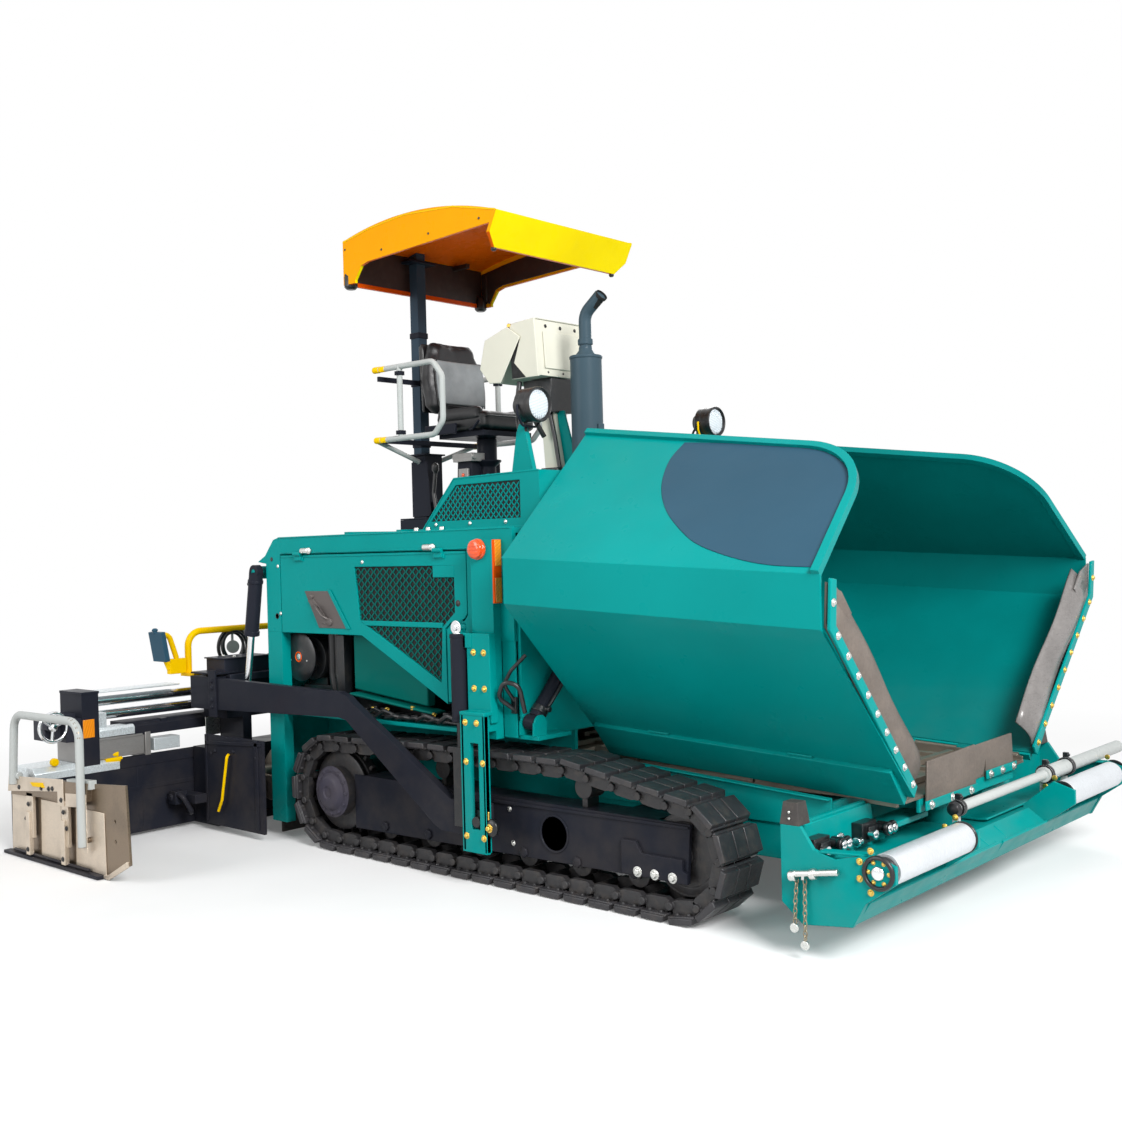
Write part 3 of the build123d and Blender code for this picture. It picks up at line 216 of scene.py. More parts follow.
def matte(name, color, rough, grain, depth, dust=0.3, high=1.2):
    """Rubber, moulded plastic and cast parts: grain in the surface, dust in it, and a painted highlight on
    the edges.
    """
    s = Shader(name)
    mottle = s.spread(s.noise(7, 6), 0.3, 0.7)
    tone = s.mix(mottle, tint(color, 0.8), tint(color, high))
    tone = s.mix(s.times(s.spread(s.noise(22, 6), 0.5, 0.75), dust), tone, srgb(*DUST_ON_RUBBER))
    rim, rounded = s.edges(0.004)
    # edges painted much paler: a painted highlight along the rounded edges
    tone = s.mix(s.times(rim, 0.35), tone, tint(color, 2.2))
    s.link(tone, s.surface, "Base Color")
    s.link(s.spread(s.noise(30, 4), 0.3, 0.7, rough * 0.85, rough * 1.15), s.surface, "Roughness")
    s.bump(s.noise(grain, 4), depth, rounded, 0.5)


def lens(name, color):
    """Ribbed translucent plastic."""
    s = Shader(name)
    ribs = s.add("ShaderNodeTexWave", wave_type="RINGS", Scale=22, Distortion=0.2)
    s.link(s.place, ribs, "Vector")
    tone = s.mix(ribs.outputs["Fac"], tint(color, 0.8), tint(color, 1.1))
    s.link(s.mix(s.spread(s.noise(30, 3), 0.4, 0.7), tone, tint(color, 0.9)), s.surface, "Base Color")
    s.surface.inputs["Roughness"].default_value = 0.18
    s.surface.inputs["Coat Weight"].default_value = 0.6
    s.bump(ribs.outputs["Fac"], 0.0015, None, 0.5)


def belt(name, color, rough):
    """Worn conveyor belting: mottled, scuffed in long streaks, dusty."""
    s = Shader(name)
    streaks = s.noise(9, 8, 0.7, (1, 1, 3))
    tone = s.mix(s.spread(s.noise(4, 8, 0.65), 0.3, 0.7), tint(color, 0.72), tint(color, 1.15))
    tone = s.mix(s.times(s.spread(streaks, 0.52, 0.75), 0.45), tone, tint(color, 1.7))
    tone = s.mix(s.times(s.spread(s.noise(60, 6), 0.5, 0.8), 0.35), tone, tint(color, 0.4))
    rim, rounded = s.edges(0.003)
    tone = s.mix(s.times(rim, 0.5), tone, tint(color, 1.8))
    s.link(tone, s.surface, "Base Color")
    s.link(s.spread(streaks, 0.3, 0.7, rough * 0.8, rough * 1.25), s.surface, "Roughness")
    s.surface.inputs["Metallic"].default_value = 0.15
    s.bump(s.noise(90, 8), 0.0015, rounded, 0.5)


# every look, kept in MATERIALS under its name
TEAL = srgb(0, 146, 143)
# darker teal for the wings' inner faces, which look into the hopper: painted shade
HOPPER_PAINTED_SHADE = srgb(2, 122, 120)
paint("teal_paint", TEAL)
paint("wing_paint_right", TEAL, turned=((HOPPER_PAINTED_SHADE, (0, 1, 0.2)),))
paint("wing_paint_left", TEAL, turned=((HOPPER_PAINTED_SHADE, (0, -1, 0.2)),))
paint("dark_paint", srgb(36, 38, 47), 0.36, edge=0.5, dust=0.12)
matte("track_steel", srgb(40, 39, 41), 0.5, 60, 0.003, 0.2)
metal("bare_steel", srgb(150, 140, 128), 0.42, stained=0.5, metallic=0.7)
metal("plate_steel", srgb(136, 120, 102), 0.3, stained=0.4, metallic=0.8)
metal("clamp_steel", srgb(214, 200, 182), 0.36, stained=0.25, metallic=0.5)
metal("chrome", srgb(236, 238, 240), 0.14, stained=0.05)
matte("rubber", srgb(60, 56, 54), 0.65, 220, 0.0012)
UNDERSIDE, FRONT = (0, 0, -1), (1, 0, 0.25)
# the canopy's underside painted orange as shade and bounce light, and its front faces painted paler yellow
# as light
CANOPY_LIGHT_AND_SHADE = ((srgb(255, 104, 0), UNDERSIDE), (srgb(250, 222, 0), FRONT))
paint("canopy_yellow", srgb(248, 166, 0), 0.28, dust=0.0, edge=0.1, turned=CANOPY_LIGHT_AND_SHADE)
paint("safety_yellow", srgb(248, 200, 0), 0.35, dust=0.0)
matte("seat_vinyl", srgb(22, 22, 25), 0.42, 320, 0.0008, 0.03)
paint("white_paint", srgb(222, 220, 205), 0.4, dust=0.0, edge=0.15)
matte("lamp_black", srgb(26, 26, 28), 0.35, 200, 0.0004, 0.1)
paint("orange_lens", srgb(240, 90, 10), 0.2, dust=0.0, edge=0.0)
metal("roller_metal", srgb(220, 224, 228), 0.36, (1, 12, 1), stained=0.06, metallic=0.5)
paint("tube_silver", srgb(186, 190, 188), 0.3, dust=0.0)
matte("track_pad", srgb(42, 41, 44), 0.42, 45, 0.004, 0.2, 1.4)
paint("hub_paint", srgb(66, 64, 76), 0.35, edge=0.4, dust=0.2)
metal("zinc", srgb(214, 214, 210), 0.28, stained=0.15)
metal("brass", srgb(226, 190, 96), 0.3, stained=0.15)
# near black: real soot in the exhaust's mouth, and painted shade on the sheets behind the door and grille
# meshes and in the console's gap
matte("soot_and_shade", srgb(12, 14, 14), 0.8, 90, 0.001, 0.05)
matte("soot_gloss", srgb(24, 26, 29), 0.32, 120, 0.0006, 0.1)
metal("latch_grey", srgb(96, 90, 88), 0.45, stained=0.3, metallic=0.5)
# a darker copy of the teal paint: painted shade on the door mesh and on the tank inside the bay
paint("teal_shaded", srgb(0, 108, 100), 0.45, edge=0.2)
lens("lens_orange", srgb(250, 84, 8))
lens("strip_orange", srgb(255, 150, 24))
paint("slate_paint", srgb(50, 84, 104), 0.35, edge=0.1, dust=0.0)
belt("belt_rubber", srgb(112, 102, 94), 0.55)
belt("belt_shiny", srgb(128, 124, 122), 0.28)
matte("seat_cloth", srgb(132, 137, 139), 0.8, 500, 0.0012, 0.03)
metal("panel_grey", srgb(150, 148, 146), 0.4, stained=0.15, metallic=0.5)
metal("sheet_silver", srgb(222, 230, 233), 0.25, (2, 14, 2), stained=0.04, metallic=0.35)
paint("box_grey", srgb(46, 48, 58), 0.36, edge=0.5, dust=0.15)
paint("muffler_grey", srgb(64, 82, 92), 0.36, edge=0.3, dust=0.0)
paint("mast_blue", srgb(58, 74, 88), 0.36, edge=0.3, dust=0.0)
# dark brown for the inner faces of the canopy's valances: painted shade
matte("valance_shade_brown", srgb(44, 28, 22), 0.5, 160, 0.0008, 0.1)
metal("chain_steel", srgb(150, 138, 116), 0.35, stained=0.4)
paint("canopy_edge", srgb(255, 196, 20), 0.25, dust=0.0, edge=0.0)
lens("lamp_glass", srgb(222, 230, 236))


def dress(piece, slot, material=None):
    """Gives a piece its look and its slot."""
    piece.data.materials.clear()
    piece.data.materials.append(MATERIALS[material or slot])


for part in frame["record"]["subparts"]:
    dress(NODES[part["node"]], part["material_slot"])
OTHER_LOOKS = {
    "wing_right": "wing_paint_right",
    "wing_left": "wing_paint_left",
    "end_plate_right": "plate_steel",
    "end_plate_left": "plate_steel",
    "canopy_mast": "mast_blue",
    "exhaust": "muffler_grey",
    "tow_points": "soot_gloss",
    "tanks": "soot_gloss",
}
SLOTS = {part["node"]: part["material_slot"] for part in frame["record"]["subparts"]}
for node, look in OTHER_LOOKS.items():
    dress(NODES[node], SLOTS[node], look)


# ---------------------------------------------------------------- mesh helpers
SMOOTH = math.radians(38)
ROD_LIP = 0.15
BEVEL = 0.003
AHEAD, OUT, INWARD, UP = (1, 0, 0), (0, -1, 0), (0, 1, 0), (0, 0, 1)


class Kit:
    """Gathers turned, extruded and bent forms into one piece. The right-hand side (-Y) is drawn."""

    def __init__(self):
        self.bm = bmesh.new()

    def face(self, verts):
        if len(set(verts)) > 2:
            self.bm.faces.new(verts)

    def ring(self, points):
        return [self.bm.verts.new(point) for point in points]

    def circle(self, centre, one, two, radius, sides):
        """Round ring in the plane of two directions."""
        turns = [2 * math.pi * k / sides for k in range(sides)]
        return self.ring(centre + (one * math.cos(a) + two * math.sin(a)) * radius for a in turns)

    def skin(self, rings):
        """Quads from ring to ring."""
        for lower, upper in zip(rings, rings[1:]):
            for k in range(len(lower)):
                j = (k + 1) % len(lower)
                self.face([lower[k], lower[j], upper[j], upper[k]])

    def solid(self, rings):
        """Skin over the rings, closed at both ends."""
        self.skin(rings)
        self.face(rings[0])
        self.face(rings[-1])

    def sheet(self, rows):
        """Open surface through rows of points."""
        grid = [self.ring(row) for row in rows]
        for lower, upper in zip(grid, grid[1:]):
            for k in range(min(len(lower), len(upper)) - 1):
                self.face([lower[k], lower[k + 1], upper[k + 1], upper[k]])

    def prism(self, outline, start, end, along="y"):
        """Outline drawn in (x, z), or in (y, z) when extruded along x."""
        rings = []
        for at in (start, end):
            rings.append(self.ring((a, at, b) if along == "y" else (at, a, b) for a, b in outline))
        self.solid(rings)

    def block(self, low, high):
        (x0, y0, z0), (x1, y1, z1) = low, high
        self.prism([(x0, z0), (x1, z0), (x1, z1), (x0, z1)], y0, y1)

    def plate(self, corners, thick):
        """Flat plate on given corners in space, with its thickness behind them."""
        corners = [Vector(c) for c in corners]
        normal = (corners[1] - corners[0]).cross(corners[2] - corners[1]).normalized() * thick
        self.solid([self.ring(corners), self.ring(c - normal for c in corners)])

    def turned(self, start, way, profile, sides):
        """Part turned on a line from start: profile of (distance along, radius)."""
        start, axis = Vector(start), Vector(way).normalized()
        one = axis.orthogonal().normalized()
        two = axis.cross(one)
        self.solid([self.circle(start + axis * along, one, two, radius, sides) for along,
                    radius in profile])

    def rod(self, start, end, radius, sides=20):
        """Round bar with rounded-over ends."""
        way = Vector(end) - Vector(start)
        cut = min(radius * ROD_LIP, way.length * 0.3)
        far = way.length - cut
        self.turned(start, way,
                    [(0, radius - cut), (cut, radius), (far, radius), (way.length, radius - cut)], sides)

    def bolt(self, place, way, size, high):
        """Hexagon head on a washer."""
        self.turned(place, way, [(0, size * 1.5), (0.002, size * 1.5)], 14)
        self.turned(place, way, [(0.001, size), (high * 0.75, size), (high, size * 0.75)], 6)

    def bolts(self, y, places, size, high):
        """Bolts on a face that looks to the right, at places (x, z)."""
        for x, z in places:
            self.bolt((x, y, z), OUT, size, high)

    def tube(self, points, radius, bend, sides=12):
        """Rigid bent tube: straight runs joined by round bends."""
        points = [Vector(p) for p in points]
        path = [points[0]]
        for before, corner, after in zip(points, points[1:], points[2:]):
            one, two = (before - corner).normalized(), (after - corner).normalized()
            half = one.angle(two) / 2
            longest = 0.48 * min((before - corner).length, (after - corner).length)
            reach = min(bend / math.tan(half), longest)
            centre = corner + (one + two).normalized() * reach / math.cos(half)
            start, end = corner + one * reach - centre, corner + two * reach - centre
            for step in range(7):
                path.append(centre + start.slerp(end, step / 6) * start.length)
        path.append(points[-1])
        side = (path[1] - path[0]).orthogonal().normalized()
        rings = []
        for i, spot in enumerate(path):
            ahead = (path[min(i + 1, len(path) - 1)] - path[max(i - 1, 0)]).normalized()
            side = (side - ahead * side.dot(ahead)).normalized()
            rings.append(self.circle(spot, side, ahead.cross(side), radius, sides))
        self.solid(rings)

    def loop(self, line, radius, sides=6):
        """Closed link of round wire."""
        rings = []
        for k, spot in enumerate(line):
            ahead = (line[(k + 1) % len(line)] - line[k - 1]).normalized()
            out = (spot - sum(line, Vector()) / len(line)).normalized()
            rings.append(self.circle(spot, out, ahead.cross(out), radius, sides))
        self.skin([*rings, rings[0]])

    def mesh(self, outline, depth, cell=(0.05, 0.021), strand=0.0036):
        """Expanded metal in an outline drawn in (x, z), its face at y = depth."""
        xs, zs = [p[0] for p in outline], [p[1] for p in outline]
        wide, high = cell
        cols, rows = int((max(xs) - min(xs)) / wide) + 2, int((max(zs) - min(zs)) / high) + 2
        for row in range(rows):
            for col in range(cols):
                x = min(xs) + (col + 0.5 * (row % 2)) * wide
                z = min(zs) + row * high
                for dx in (-wide / 2, wide / 2):
                    if inside(x + dx / 2, z + high / 2, outline):
                        self.strand(x, z, x + dx * 0.92, z + high, depth, strand)

    def strand(self, x0, z0, x1, z1, y, half):
        bow = (x1 - x0) * 0.22
        line = ((x0, z0 - half), (x0 + bow, z0), (x1 - bow, z1 - half * 2), (x1, z1 - half))
        line += ((x1, z1 + half), (x1 - bow, z1), (x0 + bow, z0 + half * 2), (x0, z0 + half))
        front = self.ring((x, y, z) for x, z in line)
        self.face(front)
        self.skin([front, self.ring((x, y + 0.003, z - 0.002) for x, z in line)])

    def piece(self, name, body, slot, material=None, bevel=BEVEL, mirrored=False, shape=None):
        mesh = bpy.data.meshes.new(name)
        bmesh.ops.recalc_face_normals(self.bm, faces=self.bm.faces)
        self.bm.to_mesh(mesh)
        if shape is not None:
            mesh.transform(shape)
        if mirrored:
            mesh.transform(Matrix.Scale(-1, 4, (0, 1, 0)))
            mesh.flip_normals()
        mesh.polygons.foreach_set("use_smooth", [True] * len(mesh.polygons))
        mesh.set_sharp_from_angle(angle=SMOOTH)
        made = bpy.data.objects.new(name, mesh)
        bpy.context.scene.collection.objects.link(made)
        if bevel:
            round_over = made.modifiers.new("edges", "BEVEL")
            round_over.width = bevel
            round_over.segments = 2
            round_over.limit_method = "ANGLE"
            round_over.angle_limit = SMOOTH
        dress(made, slot, material)
        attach(made, body)
        return made

    def pair(self, name, body, slot, material=None, bevel=BEVEL, shape=None):
        """The piece on the right and its mirror image on the left."""
        for side, mirrored in SIDES:
            at = body + "_" + side if body + "_" + side in frame["bodies"] else body
            self.piece(name + "_" + side, at, slot, material, bevel, mirrored, shape)


def around(x, z, radius, turns):
    """Places on a circle, at angles in radians."""
    return [(x + radius * math.cos(a), z + radius * math.sin(a)) for a in turns]


def inside(x, z, outline):
    """Whether a point is in the outline, by the edges that a ray crosses."""
    hit = False
    for (x0, z0), (x1, z1) in zip(outline, outline[1:] + outline[:1]):
        if (z0 > z) != (z1 > z) and x < (x1 - x0) * (z - z0) / (z1 - z0) + x0:
            hit = not hit
    return hit


# ---------------------------------------------------------------- tracks
TRACK_MID_Y = -1.06
BASE_HALF = 0.133
PAD_COUNT = 43
TEETH = 21
SPROCKET, IDLER = (-0.94, 0.312), (1.35, 0.275)
# x, z and outer radius of the wheels that the loop runs round
GROUND_LOOP = ((*SPROCKET, 0.312), (*IDLER, 0.275), (-0.15, 0.5, 0.145), (0.78, 0.5, 0.145))


def belt_line(inset):
    """Points round the track loop, drawn in by inset, as a closed hull of its wheels."""
    spots = []
    for x, z, r in GROUND_LOOP:
        spots += around(x, z, r - inset, [2 * math.pi * k / 120 for k in range(120)])
    spots.sort()

    def half(points):
        chain = []
        for p in points:
            while len(chain) > 1:
                (ax, az), (bx, bz) = chain[-2], chain[-1]
                if (bx - ax) * (p[1] - az) - (bz - az) * (p[0] - ax) > 0:
                    break
                chain.pop()
            chain.append(p)
        return chain[:-1]

    return half(spots) + half(spots[::-1])


def stations(line, count):
    """Evenly spaced places round a closed line, each with its heading."""
    runs = []
    for (x0, z0), (x1, z1) in zip(line, line[1:] + line[:1]):
        runs.append(((x0, z0), (x1, z1), math.hypot(x1 - x0, z1 - z0)))
    total = sum(run[2] for run in runs)
    places, gone, at = [], 0.0, 0
    for k in range(count):
        goal = total * k / count
        while gone + runs[at][2] < goal:
            gone += runs[at][2]
            at += 1
        (x0, z0), (x1, z1), long = runs[at]
        t = (goal - gone) / long
        places.append((x0 + (x1 - x0) * t, z0 + (z1 - z0) * t, math.atan2(z1 - z0, x1 - x0)))
    return places


def track_pieces():
    pads, chain = Kit(), Kit()
    for x, z, heading in stations(belt_line(0.02), PAD_COUNT):
        cos, sin = math.cos(heading), math.sin(heading)

        def put(t, out):
            # the loop runs anticlockwise, so its outer side is to the right of the heading
            return (x + t * cos + out * sin, z + t * sin - out * cos)

        for y0, y1 in ((-0.145, -0.045), (-0.04, 0.04), (0.045, 0.145)):
            y0, y1 = TRACK_MID_Y + y0, TRACK_MID_Y + y1
            low = [put(-0.062, -0.012), put(0.062, -0.012), put(0.056, 0.016), put(-0.056, 0.016)]
            pads.prism(low, y0, y1)
        base = [put(-0.068, -0.018), put(0.068, -0.018), put(0.068, -0.006), put(-0.068, -0.006)]
        pads.prism(base, TRACK_MID_Y - BASE_HALF, TRACK_MID_Y + BASE_HALF)
        for y in (TRACK_MID_Y - 0.085, TRACK_MID_Y + 0.085):
            link = [put(-0.06, -0.07), put(-0.035, -0.078), put(0.05, -0.078), put(0.072, -0.062)]
            link += [put(0.072, -0.034), put(0.05, -0.018), put(-0.06, -0.018)]
            chain.prism(link, y - 0.016, y + 0.016)
            for t in (-0.03, 0.03):
                a, b = put(t, -0.018), put(t, -0.034)
                chain.bolt((a[0], y - 0.028, a[1]), (b[0] - a[0], 0, b[1] - a[1]), 0.008, 0.008)
        pin = put(0.072, -0.048)
        chain.rod((pin[0], TRACK_MID_Y - 0.118, pin[1]), (pin[0], TRACK_MID_Y + 0.118, pin[1]), 0.019, 12)
    for side, left in SIDES:
        shoes = pads.piece("track_pads_" + side, "tractor", "track_steel", "track_pad", 0.004, left)
        links = chain.piece("track_chain_" + side, "tractor", "track_steel", None, 0.0, left)
        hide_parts("track_" + side)
        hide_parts("track_" + side)


def wheel_pieces():
    """Hub cap with its bolts, sprocket teeth and the rims of sprocket and idler."""
    hub = Kit()
    x, z = SPROCKET
    hub.turned((x, -1.164, z), OUT, [(0, 0.138), (0.004, 0.138), (0.006, 0.128), (0.012, 0.122)], 40)
    hub.turned((x, -1.164, z), OUT, [(0, 0.1), (0.012, 0.1), (0.03, 0.085), (0.036, 0.07), (0.038, 0.034),
                                     (0.032, 0.03), (0.034, 0.001)], 40)
    hub.bolts(-1.172, around(x, z, 0.117, [2 * math.pi * k / 12 for k in range(12)]), 0.009, 0.008)
    hub.pair("drive_hub", "tractor", "dark_paint", "hub_paint")
    teeth = Kit()
    for k in range(TEETH):
        a = 2 * math.pi * k / TEETH
        ring = []
        for da, r in ((-0.07, 0.2), (-0.03, 0.243), (0.03, 0.243), (0.07, 0.2)):
            ring.append((x + r * math.cos(a + da), z + r * math.sin(a + da)))
        teeth.prism(ring, -1.055, -1.025)
    teeth.turned((x, -1.09, z), OUT, [(0, 0.213), (0.012, 0.213), (0.016, 0.2), (0.018, 0.16)], 40)
    xi, zi = IDLER
    profile = [(0, 0.1795), (0.012, 0.1795), (0.016, 0.168), (0.018, 0.14), (0.008, 0.13), (0.008, 0.07),
               (0.016, 0.06)]
    teeth.turned((xi, -1.07, zi), OUT, profile, 40)
    teeth.pair("wheel_rims", "tractor", "track_steel")


def frame_pieces():
    """Bolted bracket, axle caps and covers on the track side frame."""
    kit = Kit()
    kit.prism([(1.03, 0.31), (1.11, 0.31), (1.14, 0.262), (1.36, 0.262), (1.36, 0.215), (1.385, 0.205),
               (1.385, 0.16), (1.03, 0.16)], -1.137, -1.12)
    kit.prism([(0.24, 0.395), (1.39, 0.405), (1.39, 0.392), (0.24, 0.38)], -1.128, -1.12)
    kit.turned((0.623, -1.1205, 0.277), OUT, [(0, 0.09), (0.004, 0.09), (0.004, 0.079), (0, 0.079)], 36)
    for x in (-0.56, -0.23, 0.1, 0.43, 0.76, 1.09):
        kit.turned((x, -1.12, 0.165), OUT, [(0, 0.026), (0.009, 0.026), (0.012, 0.02)], 6)
    kit.pair("frame_fittings", "tractor", "dark_paint")
    bolts = Kit()
    for x in (1.12, 1.213, 1.309):
        bolts.bolt((x, -1.137, 0.179), OUT, 0.016, 0.014)
    bolts.bolts(-1.12, ((0.34, 0.36), (0.36, 0.2), (1.33, 0.235)), 0.009, 0.008)
    bolts.pair("frame_bolts", "tractor", "chrome", "zinc")


# ---------------------------------------------------------------- hood and sides
def door_pieces():
    """Mesh panels, trim and latch of the engine doors, with a black sheet of painted shade behind the mesh.
    """
    # black sheet behind the mesh: painted shade of the bay behind it
    field = Kit()
    field.prism([(-0.727, 1.519), (0.031, 1.519), (0.031, 1.291), (-0.061, 1.216), (-0.077, 0.943),
                 (-0.689, 1.237)], -1.1395, -1.138)
    field.pair("door_shade_sheet", "hood_door", "dark_paint", "soot_and_shade")
    net = Kit()
    net.mesh([(-0.726, 1.518), (0.03, 1.518), (0.03, 1.292), (-0.062, 1.217), (-0.078, 0.945),
              (-0.688, 1.238)], -1.1465)
    # the mesh takes the darker teal as painted shade
    net.pair("door_mesh", "hood_door", "teal_paint", "teal_shaded", bevel=0)
    trim = Kit()
    trim.block((-0.12, -1.1515, 1.52), (0.033, -1.14, 1.462))
    trim.prism([(-0.69, 1.238), (-0.06, 1.238), (-0.06, 1.212), (-0.64, 1.212)], -1.1515, -1.14)
    # raised frame along the door's edges
    trim.block((-1.366, -1.153, 1.586), (0.113, -1.149, 1.576))
    for x in (-1.23, -0.1):
        trim.block((x - 0.01, -1.156, 1.58), (x + 0.07, -1.149, 1.555))
    trim.pair("door_trim", "hood_door", "teal_paint")
    latch = Kit()
    latch.prism([(-1.155, 1.392), (-0.955, 1.392), (-0.8, 1.192), (-1.035, 1.192)], -1.153, -1.1495)
    latch.prism([(-1.12, 1.34), (-1.07, 1.35), (-0.93, 1.215), (-1.0, 1.215)], -1.16, -1.152)
    latch.turned((-1.095, -1.153, 1.36), OUT, [(0, 0.016), (0.006, 0.016), (0.008, 0.012)], 20)
    latch.turned((-0.94, -1.153, 1.225), OUT, [(0, 0.022), (0.006, 0.022), (0.008, 0.016)], 20)
    latch.tube([(-1.07, -1.155, 1.32), (-1.02, -1.178, 1.3), (-0.97, -1.178, 1.255),
                (-0.955, -1.155, 1.24)], 0.008, 0.02)
    latch.pair("door_latch", "hood_door", "dark_paint", "latch_grey")
    rail = Kit()
    rail.plate([(-0.955, -1.1535, 1.4), (-0.925, -1.1535, 1.4), (-0.765, -1.1535, 1.19),
                (-0.8, -1.1535, 1.19)], 0.004)
    rail.pair("latch_guard", "hood_door", "teal_paint")


def hood_pieces():
    """Hinges, bolts, seams and plugs of the hood."""
    pins = Kit()
    for x in (-1.135, -0.142):
        pins.rod((x - 0.03, -1.158, 1.612), (x + 0.03, -1.158, 1.612), 0.017, 14)
        pins.bolt((x - 0.012, -1.152, 1.612), OUT, 0.012, 0.014)
        pins.turned((x + 0.035, -1.15, 1.612), OUT, [(0, 0.018), (0.012, 0.018), (0.016, 0.012)], 16)
    for x in (-0.33, -0.24, -0.14):
        pins.bolt((x, -1.06, 1.693), UP, 0.014, 0.022)
    for x, z in ((-1.425, 1.53), (-1.41, 1.265), (-0.015, 0.87), (-0.69, 1.545)):
        pins.bolt((x + 0.03, -1.15, z), OUT, 0.007, 0.005)
    pins.pair("hood_pins", "tractor", "chrome", "zinc")
    seams = Kit()
    # roof rim, front edge strip and hinge line on the roof's side
    seams.block((-1.36, -1.156, 1.607), (0.19, -1.149, 1.599))
    seams.prism([(-1.39, 1.693), (0.42, 1.698), (0.42, 1.69), (-1.39, 1.684)], -1.153, -1.12)
    seams.block((-1.3, -0.9, 1.6925), (-1.27, 0.9, 1.7))
    seams.block((-0.52, -1.1, 1.6925), (-0.5, -0.96, 1.7))
    seams.pair("hood_seams", "tractor", "teal_paint")
    tag = Kit()
    tag.turned((-1.452, -1.15, 1.57), OUT, [(0, 0.012), (0.002, 0.012)], 16)
    tag.turned((-1.412, -1.1503, 1.25), OUT, [(0, 0.016), (0.002, 0.016), (0.002, 0.0126), (0, 0.0126)], 24)
    tag.turned((0.055, -1.1503, 1.335), OUT, [(0, 0.017), (0.001, 0.015)], 24)
    tag.pair("hood_plugs", "tractor", "lamp_black")


def foot_hoses():
    """Short hoses at the foot of the bulkhead."""
    hoses = Kit()
    hoses.tube([(0.42, -1.15, 0.84), (0.38, -1.22, 0.9), (0.44, -1.24, 0.985), (0.5, -1.2, 0.96),
                (0.5, -1.165, 0.83)], 0.011, 0.05)
    hoses.tube([(0.42, -1.15, 0.88), (0.4, -1.2, 0.96), (0.45, -1.2, 1.03), (0.5, -1.15, 1.1)], 0.009, 0.05)
    hoses.block((0.4, -1.155, 0.82), (0.432, -1.138, 0.9))
    hoses.pair("foot_hoses", "tractor", "rubber", "soot_gloss")


def cover_pieces():
    """Panel between column and bulkhead, and the covers above the hull's sides."""
    panel = Kit()
    panel.block((0.345, -1.148, 0.705), (0.431, -1.138, 1.64))
    panel.prism([(0.45, 0.385), (1.868, 0.385), (1.868, 0.5), (1.868, 0.52), (0.45, 0.6)], -0.771, -0.7605)
    panel.prism([(0.455, 0.6), (1.868, 0.52), (1.868, 0.512), (0.455, 0.592)], -0.8, -0.7715)
    panel.pair("body_covers", "tractor", "teal_paint")


def bay_pieces():
    """What shows in the open bays under the doors: cooler drum, fan ring, tank, pipes, hoses."""
    drum = Kit()
    x, z = -1.3, 1.02
    profile = [(0, 0.1), (0.03, 0.125), (0.05, 0.14), (0.055, 0.13), (0.06, 0.07), (0.058, 0.05),
               (0.062, 0.04)]
    drum.turned((x, -1.035, z), OUT, profile, 48)
    drum.block((-1.36, -1.02, 0.74), (-1.08, -0.66, 0.86))
    for dx, r in ((0.19, 0.028), (0.235, 0.022)):
        drum.tube([(x + dx, -1.0, 1.155), (x + dx, -1.0, 0.93), (x + dx + 0.03, -1.0, 0.76)], r, 0.05)
    drum.pair("cooler_drum", "tractor", "dark_paint", "soot_gloss")
    ring = Kit()
    ring.turned((x, -1.095, z), OUT, [(0, 0.03), (0.004, 0.03), (0.004, 0.022), (0, 0.022)], 36)
    ring.pair("drum_ring", "tractor", "orange_lens")
    cap = Kit()
    cap.turned((x, -1.094, z), OUT, [(0, 0.021), (0.003, 0.02), (0.004, 0.012)], 6)
    for dx in (-0.07, 0.07):
        cap.bolt((x + dx, -1.09, z - 0.02), OUT, 0.006, 0.005)
    cap.pair("drum_cap", "tractor", "chrome", "zinc")
    tank = Kit()
    tank.prism([(-0.86, 1.155), (-0.28, 1.155), (-0.28, 0.8), (-0.86, 0.86)], -1.06, -1.002)
    tank.prism([(-0.86, 0.845), (-0.2, 0.78), (-0.2, 0.765), (-0.86, 0.83)], -1.1, -1.0)
    # the tank takes the darker teal as painted shade inside the bay
    tank.pair("side_tank", "tractor", "teal_paint", "teal_shaded", bevel=0.008)
    clutter = Kit()
    rng = random.Random(7)
    for k in range(9):
        x0 = -0.78 + k * 0.08
        lift = rng.uniform(0, 0.05)
        clutter.tube([(x0, -1.12, 0.735), (x0 + 0.08, -1.13, 0.745 + lift), (x0 + 0.18, -1.1, 0.735),
                      (x0 + 0.3, -1.06, 0.73)], rng.uniform(0.008, 0.014), 0.03, 8)
        clutter.block((x0, -1.09, 0.722), (x0 + 0.05, -1.04, 0.75 + lift))
    clutter.block((-0.98, -1.08, 0.72), (-0.92, -1.02, 1.15))
    clutter.pair("deck_plumbing", "tractor", "dark_paint", "soot_gloss")
    caps = Kit()
    for x, y, z in ((-0.55, -1.1, 0.772), (-0.36, -1.09, 0.79), (-0.2, -1.09, 0.765), (-0.66, -1.1, 0.77)):
        caps.bolt((x, y, z), (0, -0.6, 0.8), 0.01, 0.014)
    caps.pair("plumbing_caps", "tractor", "chrome", "brass")


